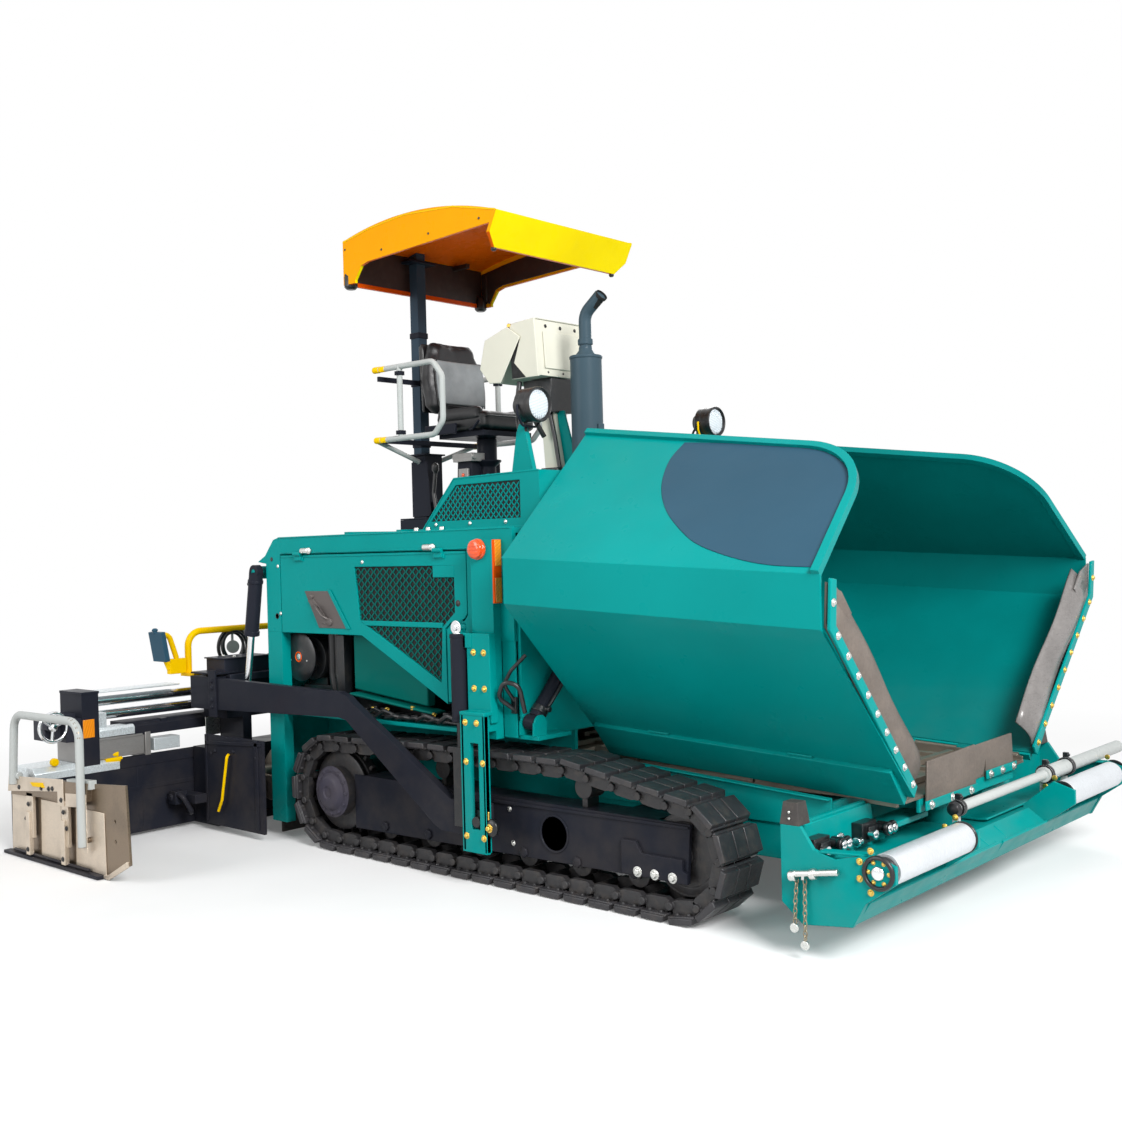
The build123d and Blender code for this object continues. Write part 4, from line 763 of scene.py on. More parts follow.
def column_pieces():
    """Guide plates, bolts, cylinder fittings, marker lens and reflectors of the front column."""
    kit = Kit()
    kit.prism([(0.205, 1.2), (0.355, 1.2), (0.36, 0.78), (0.205, 0.78)], -1.245, -1.2005)
    kit.prism([(0.15, 1.2), (0.24, 1.2), (0.24, 1.13), (0.16, 1.13)], -1.25, -1.2)
    kit.block((0.198, -1.298, 0.835), (0.362, -1.24, 0.818))
    kit.block((0.205, -1.296, 0.18), (0.222, -1.262, 0.82))
    kit.block((0.345, -1.296, 0.18), (0.36, -1.262, 0.82))
    kit.pair("guide_plates", "tractor", "teal_paint")
    bolts = Kit()
    bolts.bolts(-1.245, ((0.25, 1.11), (0.318, 1.11), (0.25, 0.94), (0.318, 0.94)), 0.011, 0.012)
    bolts.bolts(-1.296, ((0.235, 0.785), (0.31, 0.785), (0.228, 0.25), (0.342, 0.25), (0.345, 0.6),
                         (0.235, 0.6)), 0.011, 0.012)
    bolts.pair("guide_bolts", "tractor", "chrome", "brass")
    ears = Kit()
    x, y = 0.146, -1.238
    ears.turned((x, y - 0.02, 1.225), INWARD, [(0, 0.014), (0, 0.034), (0.04, 0.034), (0.04, 0.014)], 24)
    ears.rod((x, y - 0.03, 1.225), (x, y + 0.04, 1.225), 0.015)
    ears.turned((x, y, 1.19), UP, [(0, 0.03), (0.012, 0.024), (0.02, 0.02)], 20)
    ears.pair("cylinder_eye", "tractor", "chrome")
    cuffs = Kit()
    for z0, z1, r in ((0.7755, 0.79, 0.045), (1.175, 1.196, 0.045)):
        cuffs.turned((x, y, z0), UP,
                     [(0, r - 0.004), (0.003, r), (z1 - z0 - 0.003, r), (z1 - z0, r - 0.004)], 28)
    cuffs.rod((x - 0.035, y - 0.01, 0.87), (x - 0.035, y - 0.01, 1.13), 0.008)
    cuffs.pair("cylinder_cuffs", "tractor", "dark_paint")
    lens = Kit()
    x, y, z = 0.255, -1.2, 1.596
    lens.turned((x, y, z), OUT, [(0, 0.05), (0.012, 0.05), (0.014, 0.046), (0.03, 0.045), (0.036, 0.038),
                                 (0.038, 0.02), (0.036, 0.002)], 36)
    lens.pair("marker_lens", "tractor", "orange_lens", "lens_orange")
    strip = Kit()
    for z0, z1 in ((1.515, 1.638), (1.345, 1.46)):
        strip.block((0.3575, -1.196, z0), (0.362, -1.154, z1))
    strip.pair("reflector_strip", "tractor", "orange_lens", "strip_orange")
    disc = Kit()
    disc.turned((0.372, -1.262, 0.3), OUT, [(0, 0.04), (0.02, 0.043), (0.026, 0.036), (0.03, 0.02)], 28)
    disc.block((0.359, -1.29, 0.27), (0.366, -1.265, 0.33))
    disc.pair("guide_disc", "tractor", "dark_paint", "soot_gloss")
    pin = Kit()
    pin.bolt((0.372, -1.291, 0.3), OUT, 0.014, 0.016)
    pin.rod((0.36, -1.282, 0.3), (0.36, -1.282, 0.375), 0.006)
    pin.pair("guide_pin", "tractor", "chrome", "brass")


# ---------------------------------------------------------------- hopper
WING_REAR, HINGE_Z, HINGE_SLOPE = 0.565, 0.6, math.radians(2.915)
CREASE_Y, UPPER_CREASE, TOP_LEAN = -1.356, 0.953, math.radians(39.3)
HINGE_FRAME = Matrix.Translation((WING_REAR, 0, HINGE_Z)) @ Matrix.Rotation(HINGE_SLOPE, 4, "Y")


def on_top_panel(u, s, out):
    """Place on the wing's upper panel: along the hinge, up the slope, outwards."""
    up, inward = math.sin(TOP_LEAN), math.cos(TOP_LEAN)
    return HINGE_FRAME @ Vector((u, CREASE_Y + s * inward - out * up, UPPER_CREASE + s * up + out * inward))


def smooth_line(points):
    """Points of a round curve through the given ones."""
    steps = 6
    points = [Vector(p) for p in points]
    ends = [points[0] * 2 - points[1], *points, points[-1] * 2 - points[-2]]
    line = []
    for before, here, there, after in zip(ends, ends[1:], ends[2:], ends[3:]):
        for step in range(steps):
            t = step / steps
            bow = (there - before) * t + (before * 2 - here * 5 + there * 4 - after) * t**2
            bow += (here * 3 - before - there * 3 + after) * t**3
            line.append(here + bow / 2)
    return [*line, points[-1]]


def wing_pieces():
    """Bare slate panel on the wing's outer face, and the flange along its foot."""
    curve = [(0.476, 0.84), (0.47, 0.7), (0.538, 0.514), (0.666, 0.345), (0.842, 0.2), (0.977, 0.124),
             (1.174, 0.062), (1.343, 0.034), (1.53, 0.034)]
    panel = Kit()
    edge = [(1.548, 0.1), (1.515, 0.28)]
    edge += around(1.095, 0.385, 0.392, [math.radians(-8 + k * 11) for k in range(9)])
    edge += [(0.9, 0.815)]
    panel.plate([on_top_panel(u, s, 0.0012) for u, s in smooth_line(curve) + edge], 0.0012)
    panel.pair("wing_panel", "wing", "dark_paint", "slate_paint", bevel=0)
    # flange along the foot of the sloping floor, in the hinge frame
    foot = Kit()
    lip = [(-0.635, 0.02), (-0.75, 0.132), (-0.755, 0.128), (-0.775, 0.158), (-0.79, 0.142),
           (-0.66, -0.012)]
    foot.prism([(y, z - 0.006) for y, z in lip], 0.02, 1.58, "x")
    for x in (0.35, 1.1):
        foot.block((x, -0.79, 0.146), (x + 0.12, -0.778, 0.156))
    foot.pair("wing_foot", "wing", "teal_paint", shape=HINGE_FRAME)


def strip_pieces():
    """Bolted edge strips at the wing's front and the rubber skirts inside them."""
    x = 1.6
    foot, knee, head = (-0.64, 0.02), (-1.352, 0.75), (-1.352, 0.94)
    strip = Kit()
    strip.prism([foot, knee, head, (-1.31, 0.935), (-1.305, 0.765), (-0.615, 0.06)], x, x + 0.014, "x")
    strip.pair("edge_strip", "wing", "teal_paint", shape=HINGE_FRAME)
    for side, mirrored in SIDES:
        bolts = Kit()
        for k in range(9):
            t = (k + 0.5) / 9
            y, z = foot[0] + (knee[0] - foot[0]) * t + 0.02, foot[1] + (knee[1] - foot[1]) * t + 0.016
            bolts.bolt((x + 0.014, y, z), AHEAD, 0.011, 0.01)
        bolts.bolt((x + 0.014, -1.332, 0.85), AHEAD, 0.011, 0.01)
        finish = "brass" if mirrored else "zinc"
        bolts.piece("edge_bolts_" + side, "wing_" + side, "chrome", finish, mirrored=mirrored,
                    shape=HINGE_FRAME)
    # skirts: a belt strip standing off the floor, curled at its free edge
    for side, mirrored in SIDES:
        skirt = Kit()
        along = Vector((knee[0] - foot[0], knee[1] - foot[1])).normalized()
        inward = Vector((along.y, -along.x))
        if inward.x < 0:
            inward = -inward
        rows = []
        for k in range(13):
            t = k / 12
            base = Vector(foot) + along * (0.03 + t * 0.99)
            row = []
            for j in range(7):
                w = j / 6
                bulge = 0.025 * math.sin(math.pi * w) + 0.006 * math.sin(t * 9 + w * 2)
                spot = base + inward * (0.012 + 0.2 * w)
                row.append((x - 0.012 + bulge - 0.03 * w, spot.x, spot.y))
            rows.append(row)
        skirt.sheet(rows)
        solid = skirt.piece("skirt_belt_" + side, "wing_" + side, "rubber",
                            "belt_shiny" if mirrored else "belt_rubber", 0, mirrored, HINGE_FRAME)
        thick = solid.modifiers.new("thickness", "SOLIDIFY")
        thick.thickness = 0.01
        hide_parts("wing_skirt_" + side)
        flap = Kit()
        flap.prism([(-1.34, 0.76), (-1.34, 0.925), (-1.23, 0.885), (-1.15, 0.8), (-1.215, 0.73)], x - 0.02,
                   x - 0.01, "x")
        upper = flap.piece("skirt_flap_" + side, "wing_" + side, "rubber",
                           "belt_shiny" if mirrored else "belt_rubber", 0.002, mirrored, HINGE_FRAME)
        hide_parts("wing_skirt_" + side)


def apron_pieces():
    """Rubber flaps under the hopper's front edge, with their strip and bolts."""
    x = 2.137
    plates = Kit()
    plates.prism([(-0.468, 0.455), (0.02, 0.49), (0.02, 0.665), (-0.455, 0.655)], x, x + 0.01, "x")
    plates.prism([(-0.02, 0.49), (0.13, 0.515), (0.155, 0.575), (0.16, 0.49), (0.468, 0.49), (0.455, 0.662),
                  (-0.02, 0.655)], x - 0.012, x - 0.002, "x")
    made = plates.piece("apron_plates", "tractor", "rubber", "belt_rubber")
    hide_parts("hopper_apron")
    strip = Kit()
    strip.block((x + 0.01, -0.49, 0.452), (x + 0.018, 0.02, 0.492))
    strip.block((x - 0.002, 0.15, 0.487), (x + 0.006, 0.49, 0.527))
    strip.block((x - 0.03, -0.49, 0.44), (x - 0.014, 0.49, 0.5))
    done = strip.piece("apron_strip", "tractor", "teal_paint")
    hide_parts("hopper_apron")
    bolts = Kit()
    for y in (-0.44, -0.24, -0.05):
        bolts.bolt((x + 0.018, y, 0.472), AHEAD, 0.013, 0.012)
    for y in (0.19, 0.32, 0.45):
        bolts.bolt((x + 0.006, y, 0.507), AHEAD, 0.013, 0.012)
    bolts.piece("apron_bolts", "tractor", "chrome", "zinc")


# ---------------------------------------------------------------- push beam
def beam_pieces():
    """Plates, valves, roller ends, sight bar clamps, chains and pins of the push beam."""
    plate = Kit()
    plate.block((1.956, -1.23, 0.3), (1.964, -1.09, 0.505))
    plate.prism([(-1.2, 0.49), (-0.62, 0.49), (-0.6, 0.4), (-0.5, 0.4), (-0.5, 0.3), (-1.2, 0.3)], 1.9555,
                1.968, "x")
    plate.prism([(-0.6, 0.41), (-0.28, 0.41), (-0.28, 0.385), (-0.6, 0.385)], 1.94, 2.06, "x")
    # shelf over the beam with its turned-down lip
    plate.prism([(1.94, 0.318), (2.12, 0.318), (2.16, 0.322), (2.16, 0.312), (2.12, 0.306), (1.94, 0.303)],
                -1.2, -0.1)
    # gussets under the front edge
    for y in (-0.62, -0.1):
        plate.prism([(2.19, 0.296), (2.262, 0.243), (2.235, 0.2), (2.215, 0.21)], y - 0.006, y + 0.006)
    # light lower lip
    plate.prism([(2.214, 0.158), (2.27, 0.244), (2.262, 0.252), (2.2, 0.155)], -1.2, -0.02)
    plate.prism([(2.085, 0.424), (2.295, 0.437), (2.295, 0.428), (2.085, 0.414)], -1.25, -1.2)
    plate.pair("beam_plates", "push_beam", "teal_paint")
    valves = Kit()
    valve_places = ((-1.1, 0.4), (-0.72, 0.395))
    for y, z in valve_places:
        valves.block((1.968, y - 0.07, z - 0.045), (2.02, y + 0.05, z + 0.04))
        valves.block((2.02, y - 0.04, z - 0.03), (2.035, y + 0.03, z + 0.025))
        for dy in (0.075, 0.115):
            valves.turned((1.99, y + dy, z), AHEAD, [(0, 0.02), (0.05, 0.02), (0.06, 0.03), (0.075, 0.03)],
                          12)
    valves.piece("beam_valves", "push_beam", "dark_paint", "soot_gloss")
    knobs = Kit()
    for y, z in valve_places:
        for dy in (-0.05, 0.075, 0.115):
            knobs.turned((2.036, y + dy, z), AHEAD,
                         [(0, 0.012), (0.025, 0.016), (0.035, 0.022), (0.042, 0.012)], 14)
        knobs.turned((2.03, y - 0.1, z - 0.02), OUT,
                     [(0, 0.014), (0.03, 0.014), (0.034, 0.02), (0.045, 0.02)], 12)
    knobs.turned((1.99, -0.93, 0.39), AHEAD, [(0, 0.034), (0.01, 0.034), (0.014, 0.02)], 20)
    knobs.piece("beam_knobs", "push_beam", "chrome")
    # collars, caps, rings and plugs at the ends of the push rollers
    caps, rims = Kit(), Kit()
    xr, zr = 2.333, 0.375
    caps.turned((xr, -1.199, zr), OUT, [(0, 0.052), (0.012, 0.052), (0.018, 0.044), (0.02, 0.02)], 28)
    caps.turned((xr, -0.552, zr), INWARD, [(0, 0.052), (0.008, 0.052), (0.011, 0.044)], 28)
    caps.pair("roller_collars", "push_beam", "rubber", "soot_gloss")
    rims.bolts(-1.2505, around(xr, zr, 0.042, [2 * math.pi * k / 6 for k in range(6)]), 0.006, 0.006)
    for k in range(4):
        for y in (-1.2505, -0.536):
            rims.bolts(y, around(xr, zr, 0.083, [math.pi * (0.62 + 0.25 * k)]), 0.009, 0.01)
    rims.pair("roller_caps", "push_beam", "chrome", "brass")
    ring = Kit()
    for at in (-1.2495, -0.536):
        ring.turned((xr, at, zr), OUT,
                    [(0, 0.066), (0.006, 0.066), (0.012, 0.06), (0.012, 0.05), (0, 0.05)], 36)
    ring.pair("roller_rings", "push_beam", "rubber", "soot_gloss")
    plugs = Kit()
    plugs.turned((xr, -1.25, zr), OUT, [(0, 0.026), (0.01, 0.026), (0.014, 0.018)], 20)
    plugs.pair("roller_plugs", "push_beam", "chrome")
    # clamp rings and ball joint of the sight bar
    bars = Kit()
    bx, bz = 2.25, 0.462
    for y, r in ((-0.39, 0.036), (0.56, 0.046), (0.825, 0.046)):
        bars.turned((bx, y - 0.013, bz), INWARD,
                    [(0, r - 0.003), (0.004, r), (0.022, r), (0.026, r - 0.003)], 28)
        bars.block((bx - 0.012, y - 0.01, bz + r - 0.004), (bx + 0.012, y + 0.01, bz + r + 0.022))
        bars.bolt((bx + 0.012, y, bz + r + 0.01), AHEAD, 0.007, 0.008)
    bars.turned((bx, -0.455, bz), INWARD,
                [(0, 0.01), (0.008, 0.026), (0.025, 0.034), (0.042, 0.026), (0.05, 0.012)], 24)
    bars.piece("bar_clamps", "push_beam", "rubber", "soot_gloss")
    blocks = Kit()
    for z in (0.53, 0.555):
        blocks.turned((1.958, -1.207, z), OUT, [(0.03, 0.006), (0.045, 0.006)], 8)
    blocks.pair("stop_bolts", "push_beam", "chrome", "zinc")
    chain_piece("beam_chain_a", [(1.995, -1.262, 0.31), (1.99, -1.268, 0.22), (1.985, -1.266, 0.135)])
    chain_piece("beam_chain_b", [(2.03, -1.262, 0.31), (2.032, -1.27, 0.19), (2.03, -1.268, 0.075)])
    pins = Kit()
    pins.rod((1.975, -1.272, 0.325), (2.18, -1.272, 0.36), 0.013)
    pins.rod((1.97, -1.272, 0.318), (2.0, -1.272, 0.322), 0.022)
    pins.rod((2.06, -1.272, 0.335), (2.085, -1.272, 0.342), 0.022)
    for x, z in ((1.985, 0.12), (2.03, 0.06)):
        pins.turned((x, -1.276, z), INWARD, [(0, 0.01), (0, 0.018), (0.01, 0.018), (0.01, 0.01)], 16)
    for x in (1.99, 2.03):
        pins.block((x - 0.006, -1.28, 0.31), (x + 0.006, -1.249, 0.33))
    pins.piece("beam_pins", "push_beam", "chrome", "zinc")


def chain_piece(name, points):
    """Hanging chain: links strung along a short drop, each turned a quarter from the last."""
    kit = Kit()
    points = [Vector(p) for p in points]
    total = sum((b - a).length for a, b in zip(points, points[1:]))
    count = max(3, int(total / 0.019))
    for k in range(count):
        goal = total * (k + 0.5) / count
        for a, b in zip(points, points[1:]):
            if goal <= (b - a).length:
                break
            goal -= (b - a).length
        ahead = (b - a).normalized()
        centre = a + ahead * goal
        side = Vector((0, 1, 0)) if k % 2 else Vector((1, 0, 0))
        side = (side - ahead * side.dot(ahead)).normalized()
        ring = []
        for step in range(10):
            t = 2 * math.pi * step / 10
            ring.append(centre + ahead * math.sin(t) * 0.013 + side * math.cos(t) * 0.0075)
        kit.loop(ring, 0.0028)
    kit.piece(name, "push_beam", "chrome", "chain_steel", bevel=0)


# ---------------------------------------------------------------- operator's station
def cushion(name, corners_low, corners_high, body, grow=0.012):
    """Padded block: lofted between two rounded outlines, then swelled as cloth under pressure."""
    kit = Kit()
    levels = 5
    rings = []
    for level in range(levels + 1):
        rings.append(kit.ring(low.lerp(high, level / levels) for low,
                              high in zip(corners_low, corners_high)))
    kit.solid(rings)
    made = kit.piece(name, body, "seat_vinyl", bevel=0)
    swell(made, grow)
    return made


VOXEL, PRESSURE, CLOTH_FRAMES = 0.012, 4, 12


def swell(made, cap):
    """Cloth under pressure, result applied; no point moves more than the cap."""
    remesh = made.modifiers.new("remesh", "REMESH")
    remesh.mode = "VOXEL"
    remesh.voxel_size = VOXEL
    apply_modifiers(made)
    start = [v.co.copy() for v in made.data.vertices]
    cloth = made.modifiers.new("cloth", "CLOTH")
    cloth.settings.use_pressure = True
    cloth.settings.uniform_pressure_force = PRESSURE
    cloth.settings.effector_weights.gravity = 0
    for frame_number in range(1, CLOTH_FRAMES + 1):
        bpy.context.scene.frame_set(frame_number)
    apply_modifiers(made)
    bpy.context.scene.frame_set(1)
    for vertex, home in zip(made.data.vertices, start):
        move = vertex.co - home
        if move.length > cap:
            vertex.co = home + move.normalized() * cap
    made.data.polygons.foreach_set("use_smooth", [True] * len(made.data.polygons))
    soften = made.modifiers.new("soften", "SMOOTH")
    soften.iterations = 4
    finer = made.modifiers.new("finer", "SUBSURF")
    finer.levels = finer.render_levels = 1


def apply_modifiers(made):
    """The shape as the modifiers leave it becomes the mesh."""
    bpy.context.view_layer.update()
    shaped = bpy.data.meshes.new_from_object(made.evaluated_get(bpy.context.evaluated_depsgraph_get()))
    made.modifiers.clear()
    made.data = shaped


def rounded(x0, x1, y0, y1, z, corner=0.05):
    """Rounded rectangle seen from above."""
    steps = 4
    ring = []
    for cx, cy, turn in ((x1 - corner, y1 - corner, 0), (x0 + corner, y1 - corner, 1),
                         (x0 + corner, y0 + corner, 2), (x1 - corner, y0 + corner, 3)):
        for k in range(steps + 1):
            a = math.radians(90 * turn + 90 * k / steps)
            ring.append(Vector((cx + corner * math.cos(a), cy + corner * math.sin(a), z)))
    return ring


# back rest sections up its lean: height, middle x, half width, thickness
BACK_SECTIONS = (
    (2.415, -1.115, 0.185, 0.09), (2.46, -1.125, 0.235, 0.115), (2.56, -1.135, 0.245, 0.12),
    (2.66, -1.145, 0.243, 0.115), (2.735, -1.15, 0.23, 0.105), (2.79, -1.154, 0.205, 0.092),
    (2.84, -1.157, 0.19, 0.085), (2.868, -1.158, 0.165, 0.06),
)


def back_ring(x, half, thick, count=28):
    """One section of the back rest, hollowed at the front: (x, y) pairs."""
    ring = []
    for k in range(count):
        a = 2 * math.pi * k / count
        ahead, aside = math.cos(a), math.sin(a)
        hollow = 0.018 * (1 - min(1, abs(aside) * 1.4)) if ahead > 0 else 0
        fore = math.copysign(abs(ahead) ** 0.55, ahead) * thick / 2 - hollow
        ring.append((x + fore, math.copysign(abs(aside) ** 0.55, aside) * half))
    return ring


def seat_pieces():
    """Padded cushion, bolsters and back rest, with the seat's frame and trim."""
    base = cushion("seat_cushion", rounded(-1.08, -0.645, -0.235, 0.235, 2.305),
                   rounded(-1.08, -0.655, -0.24, 0.24, 2.395), "station")
    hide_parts("seat")
    for y0, y1, name in ((-0.245, -0.17, "right"), (0.17, 0.245, "left")):
        bolster = cushion("cushion_bolster_" + name, rounded(-1.05, -0.68, y0, y1, 2.36, 0.03),
                          rounded(-1.04, -0.7, y0 + 0.008, y1 - 0.008, 2.43, 0.025), "station", 0.006)
        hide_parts("seat")
    kit = Kit()
    rings = []
    for z, x, half, thick in BACK_SECTIONS:
        rings.append(kit.ring((fore, aside, z) for fore, aside in back_ring(x, half, thick)))
    kit.solid(rings)
    back = kit.piece("seat_back", "station", "seat_vinyl", bevel=0)
    swell(back, 0.012)
    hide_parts("seat")
    # cloth panel let into the back rest, with piping round it
    insert = Kit()
    rows = []
    for z, x, half, thick in BACK_SECTIONS[1:5]:
        front = [(fore, aside) for fore,
                 aside in back_ring(x, half, thick, 40) if fore > x and abs(aside) < half * 0.86]
        front.sort(key=lambda spot: spot[1])
        rows.append([Vector((fore + 0.013, aside, z + 0.01)) for fore, aside in front])
    insert.sheet(rows)
    panel = insert.piece("seat_insert", "station", "seat_vinyl", "seat_cloth", bevel=0)
    thicker = panel.modifiers.new("thickness", "SOLIDIFY")
    thicker.thickness = 0.016
    smoother = panel.modifiers.new("smoother", "SUBSURF")
    smoother.levels = smoother.render_levels = 1
    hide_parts("seat")
    piping = Kit()
    border = [row[0] for row in rows] + rows[-1][1:] + [row[-1] for row in rows[-2::-1]] + rows[0][-2:0:-1]
    piping.loop([spot + Vector((0.002, 0, 0)) for spot in border], 0.0045)
    seam = [Vector((x, y, 2.37)) for x, y in ((-0.645, -0.2), (-0.63, 0.0), (-0.645, 0.2))]
    piping.tube([Vector((-1.0, -0.245, 2.37)), *seam, Vector((-1.0, 0.245, 2.37))], 0.004, 0.03, 8)
    trim = piping.piece("seat_piping", "station", "seat_vinyl", "lamp_black", bevel=0)
    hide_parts("seat")
    under = Kit()
    under.block((-1.06, -0.19, 2.291), (-0.7, 0.19, 2.312))
    under.prism([(-1.13, 2.3), (-1.06, 2.3), (-1.06, 2.35), (-1.19, 2.6), (-1.215, 2.6)], -0.06, 0.06)
    under.tube([(-0.8, -0.2, 2.3), (-0.72, -0.25, 2.3), (-0.66, -0.26, 2.34)], 0.008, 0.02)
    under.block((-1.12, -0.26, 2.28), (-0.86, -0.242, 2.34))
    under.piece("seat_frame", "station", "dark_paint")
    shell = Kit()
    shell.prism([(-1.19, 2.43), (-1.208, 2.44), (-1.228, 2.83), (-1.2, 2.855), (-1.19, 2.8)], -0.2, 0.2)
    shell.piece("seat_shell", "station", "seat_vinyl", "lamp_black", bevel=0.012)


GUARD_HALF = 0.415


def station_pieces():
    """Carriage, pedestal, lever, guard rail fittings and mast bands of the station."""
    kit = Kit()
    # carriage plate, pedestal, rear column plates and the two carriage rails
    kit.block((-1.18, -0.42, 1.781), (-0.56, 0.42, 1.789))
    kit.block((-1.46, -0.09, 2.2), (-1.32, 0.09, 2.19))
    kit.prism([(-1.452, 1.81), (-1.3, 1.81), (-1.28, 1.83), (-1.31, 2.15), (-1.452, 2.15)], -0.078, -0.071)
    kit.prism([(-1.0, 1.79), (-0.86, 1.79), (-0.86, 2.12), (-0.98, 2.12)], -0.13, 0.11)
    kit.rod((-0.86, 0, 2.1), (-0.86, 0, 2.262), 0.06)
    kit.turned((-0.86, 0, 1.79), UP, [(0, 0.09), (0.015, 0.09), (0.03, 0.055), (0.3, 0.052), (0.33, 0.085),
                                      (0.34, 0.085)], 28)
    for y in (-0.3, 0.3):
        kit.rod((-1.2, y, 1.735), (-0.54, y, 1.735), 0.012)
    kit.piece("station_plates", "station", "dark_paint")
    gear = Kit()
    gear.prism([(-0.97, 1.86), (-0.88, 1.86), (-0.88, 2.08), (-0.96, 2.08)], -0.145, -0.13)
    gear.block((-0.99, -0.16, 2.12), (-0.83, 0.02, 2.17))
    gear.rod((-1.0, -0.14, 2.15), (-0.82, -0.14, 2.15), 0.02)
    gear.piece("station_box", "station", "tube_silver", "panel_grey")
    dots = Kit()
    for z in (1.92, 1.98, 2.04):
        dots.turned((-0.92, -0.145, z), OUT, [(0, 0.012), (0.005, 0.012), (0.007, 0.006)], 16)
    dots.piece("station_buttons", "station", "orange_lens", "lens_orange")
    lever = Kit()
    lever.tube([(-1.2, -0.1, 1.79), (-1.23, -0.1, 1.95), (-1.21, -0.1, 2.08)], 0.012, 0.05)
    lever.turned((-1.21, -0.1, 2.07), (0.01, 0, 0.93),
                 [(0, 0.01), (0.02, 0.022), (0.05, 0.022), (0.065, 0.008)], 16)
    lever.piece("station_lever", "station", "rubber", "lamp_black")
    ends = Kit()
    for y in (-GUARD_HALF, GUARD_HALF):
        for z in (2.69, 2.267):
            ends.turned((-1.392, y, z), AHEAD,
                        [(0, 0.0145), (0.004, 0.0195), (0.05, 0.0195), (0.054, 0.0172)], 18)
            ends.turned((-1.335, y, z), AHEAD,
                        [(0, 0.0172), (0.002, 0.0178), (0.05, 0.0178), (0.052, 0.0172)], 18)
    ends.piece("guard_grips", "station", "safety_yellow")
    clamps = Kit()
    for y in (-GUARD_HALF, GUARD_HALF):
        for z in (2.3, 2.65):
            clamps.block((-1.18, y - 0.022, z - 0.012), (-1.14, y + 0.022, z + 0.012))
            outward = math.copysign(1, y)
            clamps.bolt((-1.16, y + 0.022 * outward, z), (0, outward, 0), 0.007, 0.007)
    for z in (2.25, 2.62):
        clamps.block((-1.357, -0.42, z), (-1.34, 0.42, z + 0.03))
    clamps.piece("guard_clamps", "station", "dark_paint")
    mast = Kit()
    for z in (2.24, 2.62, 2.92):
        mast.block((-1.434, -0.081, z), (-1.352, 0.001, z + 0.035))
    mast.block((-1.45, -0.14, 3.38), (-1.33, 0.06, 3.396))
    mast.piece("mast_bands", "station", "dark_paint")


def console_pieces():
    """Housing, legs and hinged cover of the console, with black patches of painted shade in the gap."""
    box = Kit()
    y0, y1 = -0.43, -0.01
    for y in (y0 - 0.004, y1 - 0.012):
        box.prism([(-0.222, 2.512), (-0.236, 2.81), (-0.055, 2.826), (-0.033, 2.512)], y, y + 0.016)
    box.prism([(-0.236, 2.808), (-0.055, 2.822), (-0.052, 2.828), (-0.236, 2.814)], y0, y1)
    box.prism([(-0.04, 2.56), (-0.034, 2.56), (-0.048, 2.76), (-0.053, 2.76)], y0 + 0.06, y1 - 0.06)
    box.piece("console_panels", "tractor", "white_paint")
    # black patches on the console's ends where the gap under the cover lies: painted shade
    gap = Kit()
    for y in (y0 - 0.0055, y1 + 0.0045):
        gap.prism([(-0.234, 2.79), (-0.16, 2.72), (-0.205, 2.6), (-0.12, 2.515), (-0.222, 2.515)], y,
                  y + 0.001)
    gap.piece("console_gap_shade", "tractor", "lamp_black", "soot_and_shade", bevel=0)
    front = Kit()
    for y in (-0.34, -0.22, -0.1):
        front.bolt((-0.045, y, 2.54), (1, 0, 0.05), 0.007, 0.006)
        front.bolt((-0.057, y, 2.79), (1, 0, 0.05), 0.007, 0.006)
    front.tube([(-0.2, -0.4, 2.5), (-0.2, -0.42, 2.4), (-0.14, -0.36, 2.3), (-0.12, -0.3, 2.2)], 0.014,
               0.05)
    front.piece("console_fixings", "tractor", "lamp_black")
    legs = Kit()
    legs.prism([(-0.235, 2.33), (-0.06, 2.33), (-0.05, 2.515), (-0.26, 2.515)], -0.31, -0.13)
    legs.tube([(-0.09, -0.13, 2.0), (-0.11, -0.12, 2.2), (-0.15, -0.14, 2.5)], 0.016, 0.1)
    legs.tube([(-0.03, -0.27, 1.97), (-0.07, -0.27, 2.2), (-0.13, -0.27, 2.45)], 0.012, 0.1)
    legs.prism([(-0.16, 1.975), (-0.02, 1.975), (-0.03, 2.03), (-0.15, 2.03)], -0.3, -0.14)
    legs.piece("console_legs", "tractor", "dark_paint", "soot_gloss")
    brace = Kit()
    brace.prism([(-0.02, 1.975), (0.08, 1.975), (-0.03, 2.34), (-0.08, 2.34)], -0.24, -0.225)
    brace.piece("console_brace", "tractor", "teal_paint")
    cover = Kit()
    a, b = -0.42, -0.02
    cover.prism([(-0.262, 2.806), (-0.42, 2.75), (-0.463, 2.59), (-0.457, 2.588), (-0.414, 2.746),
                 (-0.262, 2.799)], a, b)
    for y in (a - 0.026, b + 0.018):
        cover.prism([(-0.245, 2.8), (-0.415, 2.745), (-0.457, 2.59), (-0.385, 2.505), (-0.3, 2.5),
                     (-0.15, 2.735)], y, y + 0.006)
    cover.block((-0.4, -0.32, 2.59), (-0.385, -0.12, 2.7))
    cover.piece("cover_shell", "console_cover", "white_paint")
    knobs = Kit()
    for y in (-0.36, -0.08):
        knobs.turned((-0.44, y, 2.67), (-0.26, 0, 0.03),
                     [(0, 0.012), (0.01, 0.02), (0.022, 0.02), (0.026, 0.012)], 16)
    knobs.block((-0.44, -0.26, 2.63), (-0.45, -0.18, 2.66))
    knobs.piece("cover_knobs", "console_cover", "lamp_black")
    pins = Kit()
    for y in (-0.42, -0.22, -0.02):
        pins.rod((-0.238, y - 0.02, 2.806), (-0.238, y + 0.02, 2.806), 0.0115)
    pins.piece("cover_hinge", "console_cover", "chrome", "brass")


